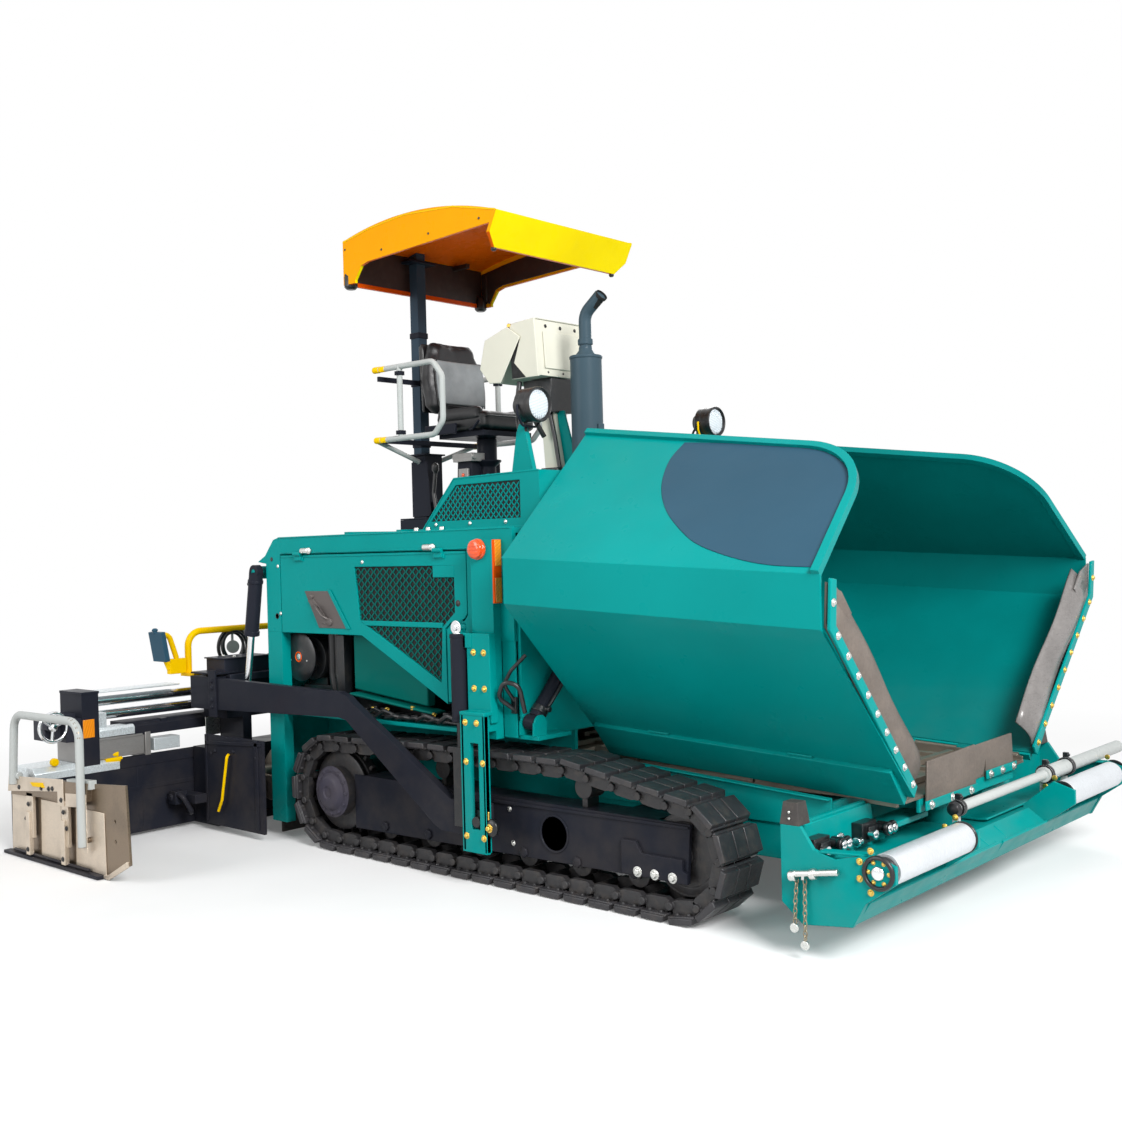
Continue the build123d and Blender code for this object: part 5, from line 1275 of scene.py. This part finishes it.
def canopy_pieces():
    """Feet, dark sheets of painted shade inside the valances, lip, seam and screws of the roof."""
    feet = Kit()
    for y in (-0.545, 0.545):
        feet.turned((-1.425, y, 3.2), (0, 0, -1),
                    [(-0.06, 0.03), (-0.04, 0.04), (0.02, 0.04), (0.034, 0.026)], 20)
        feet.turned((-0.272, y * 0.92, 3.226), (0, 0, -1), [(0, 0.014), (0.012, 0.016), (0.02, 0.01)], 16)
    feet.piece("canopy_feet", "station", "lamp_black")
    # dark sheets on the inner faces of the rear and side valances, painted shade, with a rib up each rear
    # corner
    shade_sheets = Kit()
    shade_sheets.block((-1.4318, -0.56, 3.212), (-1.427, 0.56, 3.43))
    side = [(-1.425, 3.212), (-1.352, 3.212), (-1.295, 3.294), (-1.232, 3.311), (-0.42, 3.344),
            (-0.42, 3.425), (-0.9, 3.478), (-1.2, 3.445), (-1.425, 3.41)]
    for y in (-0.5615, 0.557):
        shade_sheets.prism(side, y, y + 0.0045)
        shade_sheets.block((-1.4, y - 0.012 if y > 0 else y + 0.004, 3.23),
                     (-1.37, y if y > 0 else y + 0.016, 3.4))
    for y in (-0.33, 0.3):
        shade_sheets.block((-1.426, y, 3.4), (-1.3, y + 0.03, 3.428))
    shade_sheets.piece("canopy_inner_shade", "station", "lamp_black", "valance_shade_brown")
    # the rear valance's lower edge painted orange like the canopy's underside: painted shade and bounce
    # light
    lip = Kit()
    lip.block((-1.4275, -0.562, 3.188), (-1.4235, 0.562, 3.2135))
    lip.piece("canopy_lip", "station", "canopy_yellow", "orange_lens", bevel=0)
    rim = Kit()
    for y in (-0.5815, 0.5795):
        rim.prism([(-1.449, 3.44), (-1.449, 3.452), (-1.2, 3.492), (-0.9, 3.5135), (-0.5, 3.482),
                   (-0.175, 3.405), (-0.175, 3.395), (-0.5, 3.472), (-0.9, 3.5035), (-1.2, 3.482)], y,
                  y + 0.002)
    rim.piece("canopy_seam", "station", "canopy_yellow", "canopy_edge", bevel=0)
    screws = Kit()
    for x, z in ((-1.43, 3.25), (-1.43, 3.4), (-1.1, 3.345), (-0.7, 3.365), (-0.3, 3.375)):
        screws.turned((x, -0.58, z), OUT, [(0, 0.007), (0.003, 0.007), (0.005, 0.003)], 12)
    screws.pair("canopy_screws", "station", "lamp_black")


def lamp_pieces():
    """Round work lamps with their yokes and arms."""
    for side, mirrored in SIDES:
        x, y, z = 0.265, -0.767, 2.31
        rim = Kit()
        rim.turned((x, y, z), AHEAD, [(-0.02, 0.086), (0, 0.0885), (0.014, 0.0885), (0.02, 0.083),
                                      (0.012, 0.076), (0, 0.074)], 44)
        rim.turned((x - 0.125, y, z), AHEAD,
                   [(0, 0.03), (0.006, 0.05), (0.04, 0.072), (0.06, 0.086), (0.08, 0.0865)], 36)
        rim.tube([(x - 0.12, y, z - 0.01), (x - 0.16, y + 0.01, z - 0.06), (x - 0.13, y + 0.01, z - 0.16)],
                 0.007, 0.05)
        rim.piece("lamp_rim_" + side, "tractor", "lamp_black", mirrored=mirrored)
        glass = Kit()
        dome = [(0.002 + 0.012 * math.cos(math.radians(a)),
                 0.0745 * math.sin(math.radians(a))) for a in range(90, 0, -12)]
        glass.turned((x, y, z), AHEAD, dome + [(0.0142, 0.001)], 44)
        for k in range(-4, 5):
            half = 0.068 * math.sqrt(max(0.02, 1 - (k / 4.6) ** 2))
            glass.block((x + 0.009, y + k * 0.0145 - 0.0025, z - half),
                        (x + 0.0155 - abs(k) * 0.0013, y + k * 0.0145 + 0.0025, z + half))
        glass.piece("lamp_glass_" + side, "tractor", "chrome", "lamp_glass", mirrored=mirrored)
        bar = Kit()
        bar.tube([(x - 0.055, y - 0.092, z), (x - 0.055, y - 0.092, z - 0.05),
                  (x - 0.06, y - 0.05, z - 0.105), (x - 0.06, y + 0.05, z - 0.105),
                  (x - 0.055, y + 0.092, z - 0.05), (x - 0.055, y + 0.092, z)], 0.006, 0.03)
        bar.piece("lamp_yoke_" + side, "tractor", "safety_yellow" if mirrored else "dark_paint",
                  mirrored=mirrored)
        arm = Kit()
        for y0, y1 in ((y - 0.0145, y - 0.0122), (y + 0.0122, y + 0.0145)):
            arm.prism([(0.087, 1.972), (0.233, 1.976), (0.184, 2.181), (0.18, 2.22), (0.146, 2.22),
                       (0.127, 2.181)], y0, y1)
        arm.prism([(0.233, 1.976), (0.237, 1.976), (0.188, 2.181), (0.184, 2.181)], y - 0.0145, y + 0.0145)
        arm.piece("lamp_arm_" + side, "tractor", "teal_paint", mirrored=mirrored)


def grille_pieces():
    """Mesh and trim of the grille box with a black sheet of painted shade behind the mesh, and the bands of
    the exhaust.
    """
    net = Kit()
    field = [(-0.338, 1.748), (-0.151, 1.922), (0.296, 1.927), (0.296, 1.748)]
    net.mesh(field, -0.9475, (0.036, 0.019), 0.004)
    net.pair("grille_mesh", "tractor", "teal_paint", bevel=0)
    # black sheet behind the mesh: painted shade
    back = Kit()
    back.prism([(-0.34, 1.746), (-0.151, 1.924), (0.299, 1.929), (0.299, 1.746)], -0.9428, -0.9418)
    back.pair("grille_shade_sheet", "tractor", "dark_paint", "soot_and_shade")
    trim = Kit()
    trim.prism([(-0.418, 1.6945), (-0.163, 1.963), (0.428, 1.975), (0.428, 1.967), (-0.16, 1.955),
                (-0.4, 1.7)], -0.9525, -0.9495)
    trim.prism([(-0.421, 1.707), (0.43, 1.707), (0.43, 1.6945), (-0.433, 1.6945)], -0.956, -0.95)
    trim.block((-0.163, -0.9, 1.961), (-0.13, 0.0, 1.966))
    trim.block((0.06, -0.94, 1.964), (0.075, 0.0, 1.9705))
    trim.pair("grille_trim", "tractor", "teal_paint")
    studs = Kit()
    for x in (-0.3, -0.05, 0.2):
        studs.bolt((x, -0.951, 1.728), OUT, 0.007, 0.006)
    studs.pair("grille_studs", "tractor", "chrome", "zinc")
    pipe = Kit()
    x, y = 0.19, -0.3
    for z0, r in ((1.971, 0.1), (2.585, 0.088), (1.99, 0.088)):
        pipe.turned((x, y, z0), UP, [(0, r - 0.004), (0.003, r), (0.015, r), (0.018, r - 0.004)], 40)
    pipe.turned((x, y, 2.603), UP, [(0, 0.06), (0.012, 0.05), (0.03, 0.036), (0.05, 0.0345)], 32)
    pipe.turned((x, y, 2.66), UP, [(0, 0.036), (0.004, 0.04), (0.03, 0.04), (0.034, 0.036)], 32)
    pipe.block((x + 0.083, y - 0.02, 2.2), (x + 0.1, y + 0.02, 2.24))
    pipe.piece("muffler_bands", "tractor", "dark_paint", "muffler_grey")
    mouth = Kit()
    mouth.turned((0.297, y, 2.899), (0.064, 0, 0.05),
                 [(0, 0.0335), (0.012, 0.0345), (0.02, 0.034), (0.018, 0.03), (-0.06, 0.028)], 32)
    mouth.piece("exhaust_mouth", "tractor", "dark_paint", "soot_and_shade")


# ---------------------------------------------------------------- screed
# boxes on the crossbeam, each with its lid: y from, y to, x from, x to, top
CONTROL_BOXES = (
    (-1.16, -0.84, -2.12, -1.93, 0.985), (-0.8, -0.52, -2.14, -1.95, 0.96),
    (-0.46, -0.1, -2.12, -1.93, 0.94), (0.1, 0.46, -2.12, -1.93, 0.94), (0.84, 1.16, -2.12, -1.93, 0.985),
)


def screed_pieces():
    """Control boxes, ribs, shields, arm heads and side panels of the screed."""
    top = Kit()
    for y0, y1, x0, x1, z1 in CONTROL_BOXES:
        top.block((x0, y0, 0.9), (x1, y1, z1))
        top.block((x0 - 0.01, y0 - 0.01, z1), (x1 + 0.01, y1 + 0.01, z1 + 0.008))
    for y in (-0.66, 0.3):
        top.rod((-2.06, y - 0.1, 0.96), (-2.06, y + 0.1, 0.96), 0.028)
    top.block((-1.905, -1.17, 0.9), (-1.86, 1.17, 0.86))
    top.piece("screed_boxes", "screed", "dark_paint", "box_grey")
    front = Kit()
    for y in (-1.0, -0.5, 0.5, 1.0):
        front.prism([(-1.905, 0.86), (-1.87, 0.86), (-1.885, 0.66), (-1.905, 0.66)], y - 0.008, y + 0.008)
    front.block((-1.905, -1.22, 0.4), (-1.895, 1.22, 0.46))
    front.block((-1.905, -1.22, 0.02), (-1.89, 1.22, 0.06))
    front.piece("screed_ribs", "screed", "dark_paint")
    shield = Kit()
    shield.prism([(-1.955, 0.5), (-1.41, 0.53), (-1.41, 0.55), (-1.955, 0.52)], -1.292, -1.286)
    for x0, x1 in ((-1.958, -1.94), (-1.47, -1.44)):
        shield.block((x0, -1.292, 0.56), (x1, -1.286, 0.06))
    shield.bolts(-1.287, ((-1.9, 0.45), (-1.86, 0.47), (-1.46, 0.46), (-1.46, 0.16), (-1.68, 0.48)), 0.009,
                 0.007)
    shield.pair("shield_ribs", "screed", "dark_paint")
    lever = Kit()
    lever.tube([(-1.72, -1.29, 0.46), (-1.7, -1.315, 0.455), (-1.76, -1.315, 0.2), (-1.8, -1.315, 0.13)],
               0.008, 0.03)
    lever.pair("shield_lever", "screed", "safety_yellow")
    rods = Kit()
    # arm head plates where the tow arm meets the crossbeam
    rods.block((-1.94, -1.268, 0.93), (-1.87, -1.2565, 0.66))
    rods.block((-2.13, -1.262, 0.905), (-1.88, -1.1, 0.915))
    for z in (0.72, 0.76, 0.83, 0.87):
        rods.bolt((-1.905, -1.268, z), OUT, 0.01, 0.009)
    rods.pair("arm_heads", "screed", "dark_paint")
    bits = Kit()
    for y in (-1.06, -0.7):
        for x in (-2.09, -1.98):
            bits.bolt((x, y, 0.993 if y < -0.9 else 0.968), UP, 0.008, 0.008)
    bits.prism([(-2.147, 0.63), (-2.147, 0.52), (-2.151, 0.52), (-2.151, 0.63)], -1.16, -0.92)
    for y in (-0.95, -0.93, -0.91):
        bits.turned((-2.33, y, 0.8), (-1, 0, 0), [(0, 0.01), (0.012, 0.01), (0.016, 0.006)], 12)
    bits.pair("screed_bits", "screed", "chrome", "zinc")
    post = Kit()
    post.tube([(-2.25, -1.33, 0.93), (-2.25, -1.36, 1.0), (-2.25, -1.4, 1.13), (-2.25, -1.33, 1.14),
               (-2.25, -1.28, 0.99)], 0.016, 0.04)
    post.block((-2.27, -1.335, 0.9), (-2.23, -1.225, 0.99))
    post.pair("panel_bracket", "screed", "safety_yellow")
    panel = Kit()
    panel.plate([(-2.3, -1.405, 0.98), (-2.16, -1.405, 0.98), (-2.16, -1.435, 1.155),
                 (-2.3, -1.435, 1.155)], 0.03)
    panel.turned((-2.23, -1.43, 1.15), (0, -0.006, 0.15),
                 [(0, 0.012), (0.01, 0.012), (0.02, 0.02), (0.03, 0.01)], 14)
    panel.pair("side_panel", "screed", "dark_paint", "slate_paint")


def coil_pieces():
    """Hose coiled over the screed's rail, with its gauge."""
    coil = Kit()
    turn = [2 * math.pi * step / 32 for step in range(32)]
    for k, (dx, dr) in enumerate(((-0.02, 0.0), (0.0, 0.012), (0.018, -0.006), (0.006, -0.016))):
        coil.loop([Vector((-2.255 + dx + 0.012 * math.sin(a + k), -0.88 + (0.088 + dr) * math.cos(a),
                           1.035 + (0.1 + dr) * math.sin(a))) for a in turn], 0.0095, 10)
    coil.tube([(-2.25, -0.8, 0.97), (-2.23, -0.74, 0.95), (-2.2, -0.72, 0.91), (-2.15, -0.72, 0.9)], 0.0095,
              0.03)
    coil.piece("hose_coil", "screed", "rubber", "soot_gloss", bevel=0)
    gauge = Kit()
    gauge.turned((-2.27, -0.88, 1.03), (0.27, -0.07, 0.02),
                 [(0, 0.03), (0.02, 0.04), (0.03, 0.04), (0.03, 0.034)], 28)
    gauge.rod((-2.26, -0.88, 1.03), (-2.26, -0.88, 1.13), 0.008)
    gauge.piece("coil_gauge", "screed", "chrome", "tube_silver")


def extension_pieces():
    """Covers, front plate, hand wheel, reflector and tube collars of the extensions."""
    x0, x1 = -2.4, -2.155
    box = Kit()
    # walkway block, sheet over the guide tubes and the small silver sheet before them
    box.prism([(x0, 0.4005), (x1 + 0.003, 0.4005), (x1 + 0.003, 0.44), (x1 - 0.03, 0.468), (x0, 0.468)],
              -2.22, -1.72)
    box.block((-2.335, -1.838, 0.838), (-2.19, -1.3, 0.846))
    box.prism([(-2.25, 0.59), (x1, 0.59), (x1, 0.63), (-2.17, 0.645), (-2.25, 0.645)], -1.838, -1.62)
    box.block((-2.25, -1.838, 0.645), (-2.17, -1.785, 0.73))
    box.block((-2.25, -1.5, 0.475), (x1 - 0.002, -1.33, 0.545))
    box.pair("extension_covers", "extension", "tube_silver", "sheet_silver")
    grey = Kit()
    grey.block((-2.37, -1.98, 0.4685), (-2.16, -1.56, 0.585))
    grey.block((-2.365, -1.556, 0.4405), (-2.157, -1.52, 0.59))
    grey.block((-2.2, -1.97, 0.586), (-2.156, -1.57, 0.572))
    grey.pair("extension_housing", "extension", "tube_silver", "panel_grey")
    front = Kit()
    front.block((x1, -2.236, 0.02), (x1 + 0.003, -1.035, 0.399))
    front.prism([(x1 - 0.02, 0.4005), (x1 + 0.003, 0.4005), (x1 + 0.003, 0.455), (x1 - 0.02, 0.462)],
                -1.715, -1.035)
    front.block((x1 + 0.002, -2.234, 0.262), (x1 + 0.0047, -1.037, 0.285))
    for y in (-2.0, -1.6, -1.2):
        front.block((x1 + 0.002, y - 0.014, 0.04), (x1 + 0.0041, y + 0.014, 0.39))
    front.prism([(-2.36, 0.575), (-2.16, 0.575), (-2.16, 0.63), (-2.2, 0.652), (-2.36, 0.652)], -1.66,
                -1.03)
    front.prism([(-2.22, 0.655), (-2.17, 0.655), (-2.17, 0.6), (-2.2, 0.58)], -1.44, -1.4)
    front.pair("extension_front", "extension", "dark_paint")
    wheel = Kit()
    x, y, z = -2.17, -2.1, 0.68
    rim = [2 * math.pi * k / 28 for k in range(28)]
    wheel.loop([Vector((x, y - 0.078 * math.cos(a), z + 0.078 * math.sin(a))) for a in rim], 0.011, 10)
    for k in range(3):
        a = 2 * math.pi * k / 3 + 0.4
        wheel.prism([(y - 0.012, z + 0.07), (y + 0.012, z + 0.07), (y + 0.016, z), (y - 0.016, z)],
                    x - 0.004, x + 0.003, "x")
        wheel.rod((x, y, z), (x, y + 0.074 * math.cos(a), z + 0.074 * math.sin(a)), 0.009, 10)
    wheel.turned((x - 0.02, y, z), AHEAD, [(0, 0.02), (0.026, 0.022), (0.032, 0.014)], 20)
    wheel.pair("hand_wheel", "extension", "chrome")
    hub = Kit()
    hub.rod((x - 0.12, y, z), (x - 0.018, y, z), 0.024)
    hub.block((-2.36, -2.12, 0.6), (-2.23, -1.93, 0.735))
    hub.block((-2.23, -2.03, 0.5865), (-2.166, -1.89, 0.712))
    hub.pair("wheel_gear", "extension", "dark_paint", "box_grey")
    lens = Kit()
    lens.block((-2.156, -1.936, 0.6), (-2.1527, -1.868, 0.702))
    lens.pair("end_reflector", "extension", "orange_lens", "strip_orange")
    yellow = Kit()
    yellow.rod((-2.2, -1.86, 0.485), (-2.175, -1.72, 0.485), 0.022)
    yellow.rod((-2.18, -1.8, 0.455), (-2.172, -1.7, 0.455), 0.02)
    yellow.rod((-2.185, -2.1, 0.49), (-2.155, -2.1, 0.49), 0.022)
    yellow.pair("extension_marks", "extension", "safety_yellow")
    hook = Kit()
    hook.block((-2.115, -1.37, 0.165), (-1.945, -1.293, 0.215))
    hook.block((-2.115, -1.44, 0.16), (-2.045, -1.36, 0.235))
    hook.rod((-2.09, -1.45, 0.2), (-2.09, -1.435, 0.2), 0.02)
    hook.tube([(-2.05, -1.42, 0.22), (-2.0, -1.42, 0.21), (-2.0, -1.36, 0.11), (-2.06, -1.34, 0.1)], 0.014,
              0.03)
    hook.pair("tow_hook", "screed", "dark_paint")
    ends = Kit()
    for zt in (0.784, 0.706):
        ends.turned((-2.265, -1.8405, zt), INWARD,
                    [(0, 0.038), (0.012, 0.038), (0.016, 0.034), (0.03, 0.029)], 28)
    ends.block((x0, -1.944, 0.842), (-2.152, -1.836, 0.856))
    for xb in (-2.37, -2.18):
        for zb in (0.45, 0.8):
            ends.bolt((xb, -1.84, zb), (0, 1, 0), 0.009, 0.008)
    ends.pair("tube_collars", "extension", "dark_paint")


def end_plate_pieces():
    """Clamp rail, bars, runner and rail clamps of the side plates."""
    y = -2.25  # outer face of the right plate
    kit = Kit()
    kit.prism([(-2.335, 0.345), (-2.32, 0.43), (-1.72, 0.468), (-1.715, 0.33), (-1.78, 0.33), (-1.78, 0.4)],
              y - 0.036, y - 0.03)
    kit.prism([(-1.7, 0.4), (-1.49, 0.415), (-1.49, 0.12), (-1.53, 0.12), (-1.53, 0.345), (-1.7, 0.33)],
              y - 0.034, y - 0.03)
    for x in (-2.1, -1.72):
        kit.block((x - 0.035, y - 0.03, 0.12), (x + 0.035, y - 0.012, 0.36))
        kit.block((x - 0.02, y - 0.045, 0.03), (x + 0.02, y - 0.02, 0.26))
    for x0, x1 in ((-2.36, -2.17), (-2.03, -1.8), (-1.66, -1.36)):
        kit.prism([(x0, 0.02), (x1, 0.02), (x1 - 0.01, 0.33), (x0 + 0.01, 0.33)], y - 0.005, y)
    kit.prism([(-1.38, 0.005), (-1.33, 0.005), (-1.15, 0.09), (-1.15, 0.12), (-1.33, 0.03), (-1.38, 0.02)],
              y - 0.012, y + 0.002)
    kit.pair("plate_clamps", "extension", "bare_steel", "clamp_steel")
    rail = Kit()
    rail_y = -2.2995
    rail.tube([(-2.241, rail_y, 0.395), (-2.205, rail_y, 0.775), (-1.51, rail_y, 0.779),
               (-1.51, rail_y, 0.15)], 0.0212, 0.09, 16)
    rail.pair("hand_rail_sleeve", "extension", "tube_silver")
    sole = Kit()
    sole.block((-2.385, y - 0.045, 0.003), (-1.375, y - 0.002, 0.02))
    sole.tube([(-2.3, y - 0.02, 0.03), (-1.5, y - 0.02, 0.03)], 0.009, 0.02, 8)
    sole.pair("plate_sole", "extension", "dark_paint")
    bolts = Kit()
    for x, z in ((-2.2, 0.38), (-1.95, 0.4), (-1.87, 0.405), (-1.83, 0.41), (-2.1, 0.3), (-1.72, 0.3),
                 (-1.74, 0.36), (-2.1, 0.06), (-1.72, 0.06), (-2.13, 0.22), (-1.69, 0.22)):
        bolts.bolt((x, y - (0.045 if z < 0.1 else 0.036), z), OUT, 0.009, 0.008)
    bolts.pair("plate_bolts", "extension", "dark_paint", "lamp_black")
    top = Kit()
    top.prism([(-1.7, 0.47), (-1.46, 0.485), (-1.46, 0.44), (-1.7, 0.425)], y - 0.025, y + 0.012)
    top.rod((-2.25, y - 0.03, 0.44), (-2.2, y - 0.03, 0.44), 0.02)
    top.pair("plate_rail", "extension", "tube_silver")
    mark = Kit()
    mark.prism([(-2.07, 0.42), (-1.93, 0.43), (-1.91, 0.405), (-2.04, 0.4)], y - 0.04, y - 0.036)
    mark.pair("plate_marks", "extension", "safety_yellow")


def cylinder_pieces():
    """Collars, rod eyes and hose ports of the wing and screed cylinders."""
    a, b, r, long = Vector((-0.085, -1.1, 0.175)), Vector((-0.085, -0.62, 0.73)), 0.036, 0.455
    axis = (b - a).normalized()

    def spot(gone, ahead):
        """Place beside the cylinder's line, by the distance along it and the distance ahead of it."""
        return a + axis * gone + Vector((ahead, 0, 0))

    for side, mirrored in SIDES:
        kit = Kit()
        kit.turned(a + axis * (long - 0.055), axis,
                   [(0, r + 0.001), (0.003, r + 0.006), (0.028, r + 0.006), (0.033, r)], 28)
        kit.turned(a + axis * 0.05, axis,
                   [(0, r + 0.001), (0.003, r + 0.005), (0.03, r + 0.005), (0.033, r)], 28)
        kit.tube([spot(0.09, 0.04), spot(0.2, 0.047), spot(0.42, 0.043)], 0.009, 0.02)
        for gone in (0.08, 0.42):
            kit.rod(spot(gone, 0.02), spot(gone, 0.06), 0.014)
        kit.piece("wing_cylinder_fittings_" + side, "wing_barrel_" + side, "dark_paint", "soot_gloss",
                  mirrored=mirrored, shape=HINGE_FRAME)
    lift = Kit()
    a, b = Vector((-1.58, -1.166, 1.5)), Vector((-1.7, -1.166, 0.8))
    axis = (b - a).normalized()
    lift.turned(a + axis * 0.34, axis, [(0, 0.0405), (0.003, 0.045), (0.028, 0.045), (0.031, 0.036)], 28)
    lift.turned(a + axis * 0.045, axis, [(0, 0.0405), (0.003, 0.044), (0.02, 0.044), (0.023, 0.0405)], 28)
    lift.rod(spot(0.07, -0.035), spot(0.07, -0.065), 0.013)
    lift.pair("lift_collars", "screed_lift_barrel", "dark_paint")


PARTS = (
    track_pieces, wheel_pieces, frame_pieces, door_pieces, hood_pieces, foot_hoses, cover_pieces,
    bay_pieces, column_pieces, wing_pieces, strip_pieces, apron_pieces, beam_pieces, seat_pieces,
    station_pieces, console_pieces, canopy_pieces, lamp_pieces, grille_pieces, screed_pieces,
    coil_pieces, extension_pieces, end_plate_pieces, cylinder_pieces,
)
for make in PARTS:
    make()

# ---------------------------------------------------------------- camera, lights, floor
CAMERA_PLACE = Vector((4.6, -5.5021, 1.5898))
YAW, PITCH, ROLL = (math.radians(v) for v in (41.6189, -0.5593, 1.4626))
FOCAL_LENGTH, FILM_WIDTH = 41.31, 36
FLOOR_REACH = 60
AMBIENT = 0.42
# distances from the middle between which the floor fades out
FADE_START, FADE_END = 3.2, 6.5
look = Vector((-math.sin(YAW) * math.cos(PITCH), math.cos(YAW) * math.cos(PITCH), math.sin(PITCH)))
level = Vector((math.cos(YAW), math.sin(YAW), 0))
upright = level.cross(look)
across = level * math.cos(ROLL) - upright * math.sin(ROLL)
above = level * math.sin(ROLL) + upright * math.cos(ROLL)
optics = bpy.data.cameras.new("camera")
optics.lens = FOCAL_LENGTH
optics.sensor_width = FILM_WIDTH
camera = bpy.data.objects.new("camera", optics)
bpy.context.scene.collection.objects.link(camera)
turn = Matrix((across, above, -look)).transposed()
camera.matrix_world = Matrix.Translation(CAMERA_PLACE) @ turn.to_4x4()
bpy.context.scene.camera = camera

floor_mesh = bpy.data.meshes.new("floor")
corners = [(x * FLOOR_REACH, y * FLOOR_REACH, 0) for x, y in ((-1, -1), (1, -1), (1, 1), (-1, 1))]
floor_mesh.from_pydata(corners, [], [(0, 1, 2, 3)])
floor = bpy.data.objects.new("floor", floor_mesh)
bpy.context.scene.collection.objects.link(floor)


def seen_rays(tree):
    """1 for the rays that show the background: from the camera, off metal and through glass."""
    rays = tree.nodes.new("ShaderNodeLightPath")
    seen = rays.outputs["Is Camera Ray"]
    for kind in ("Is Glossy Ray", "Is Transmission Ray"):
        either = tree.nodes.new("ShaderNodeMath")
        either.operation = "MAXIMUM"
        tree.links.new(seen, either.inputs[0])
        tree.links.new(rays.outputs[kind], either.inputs[1])
        seen = either.outputs[0]
    return seen


f = Shader("floor")
seen = seen_rays(f.material.node_tree)
patches = f.mix(f.spread(f.noise(0.8, 3), 0.3, 0.7), srgb(246, 246, 246), srgb(252, 252, 252))
f.link(f.mix(seen, srgb(196, 196, 196), patches), f.surface, "Base Color")
f.surface.inputs["Roughness"].default_value = 0.9
f.surface.inputs["Specular IOR Level"].default_value = 0.0
# the floor fades into the white background away from the object, past its shadow
away = f.add("ShaderNodeVectorMath", operation="LENGTH")
f.link(f.place, away, 0)
fade = f.times(f.spread(away.outputs["Value"], FADE_START, FADE_END, 0.1, 1.0), seen)
white = f.add("ShaderNodeEmission", Strength=1.0)
white.inputs["Color"].default_value = WHITE
cover = f.add("ShaderNodeMixShader")
f.link(fade, cover, 0)
f.link(f.surface.outputs[0], cover, 1)
f.link(white.outputs[0], cover, 2)
f.link(cover.outputs[0], f.nodes["Material Output"], "Surface")
floor.data.materials.append(f.material)

# name, place, aim, width, power
LAMPS = (
    ("key_lamp", (9.0, -4.2, 6.6), (0, 0, 1), 4.0, 1350),
    ("side_lamp", (-3.5, -9.5, 4.5), (0, 0, 1), 5.0, 330),
    ("back_lamp", (-5.0, 8.5, 6.5), (0, 0, 1), 5.0, 380),
)
for name, place, aim, width, power in LAMPS:
    lamp = bpy.data.lights.new(name, "AREA")
    lamp.size = width
    lamp.energy = power
    holder = bpy.data.objects.new(name, lamp)
    holder.location = place
    holder.rotation_euler = (Vector(aim) - Vector(place)).to_track_quat("-Z", "Y").to_euler()
    bpy.context.scene.collection.objects.link(holder)

world = bpy.data.worlds.new("studio")
world.use_nodes = True
bpy.context.scene.world = world
sky = world.node_tree
glow = sky.nodes["Background"]
glow.inputs["Color"].default_value = WHITE
glow.inputs["Strength"].default_value = AMBIENT
shown = sky.nodes.new("ShaderNodeBackground")
shown.inputs["Color"].default_value = WHITE
shown.inputs["Strength"].default_value = 1.0
blend = sky.nodes.new("ShaderNodeMixShader")
sky.links.new(seen_rays(sky), blend.inputs[0])
sky.links.new(glow.outputs[0], blend.inputs[1])
sky.links.new(shown.outputs[0], blend.inputs[2])
sky.links.new(blend.outputs[0], sky.nodes["World Output"].inputs["Surface"])
bpy.context.scene.view_settings.view_transform = "Standard"
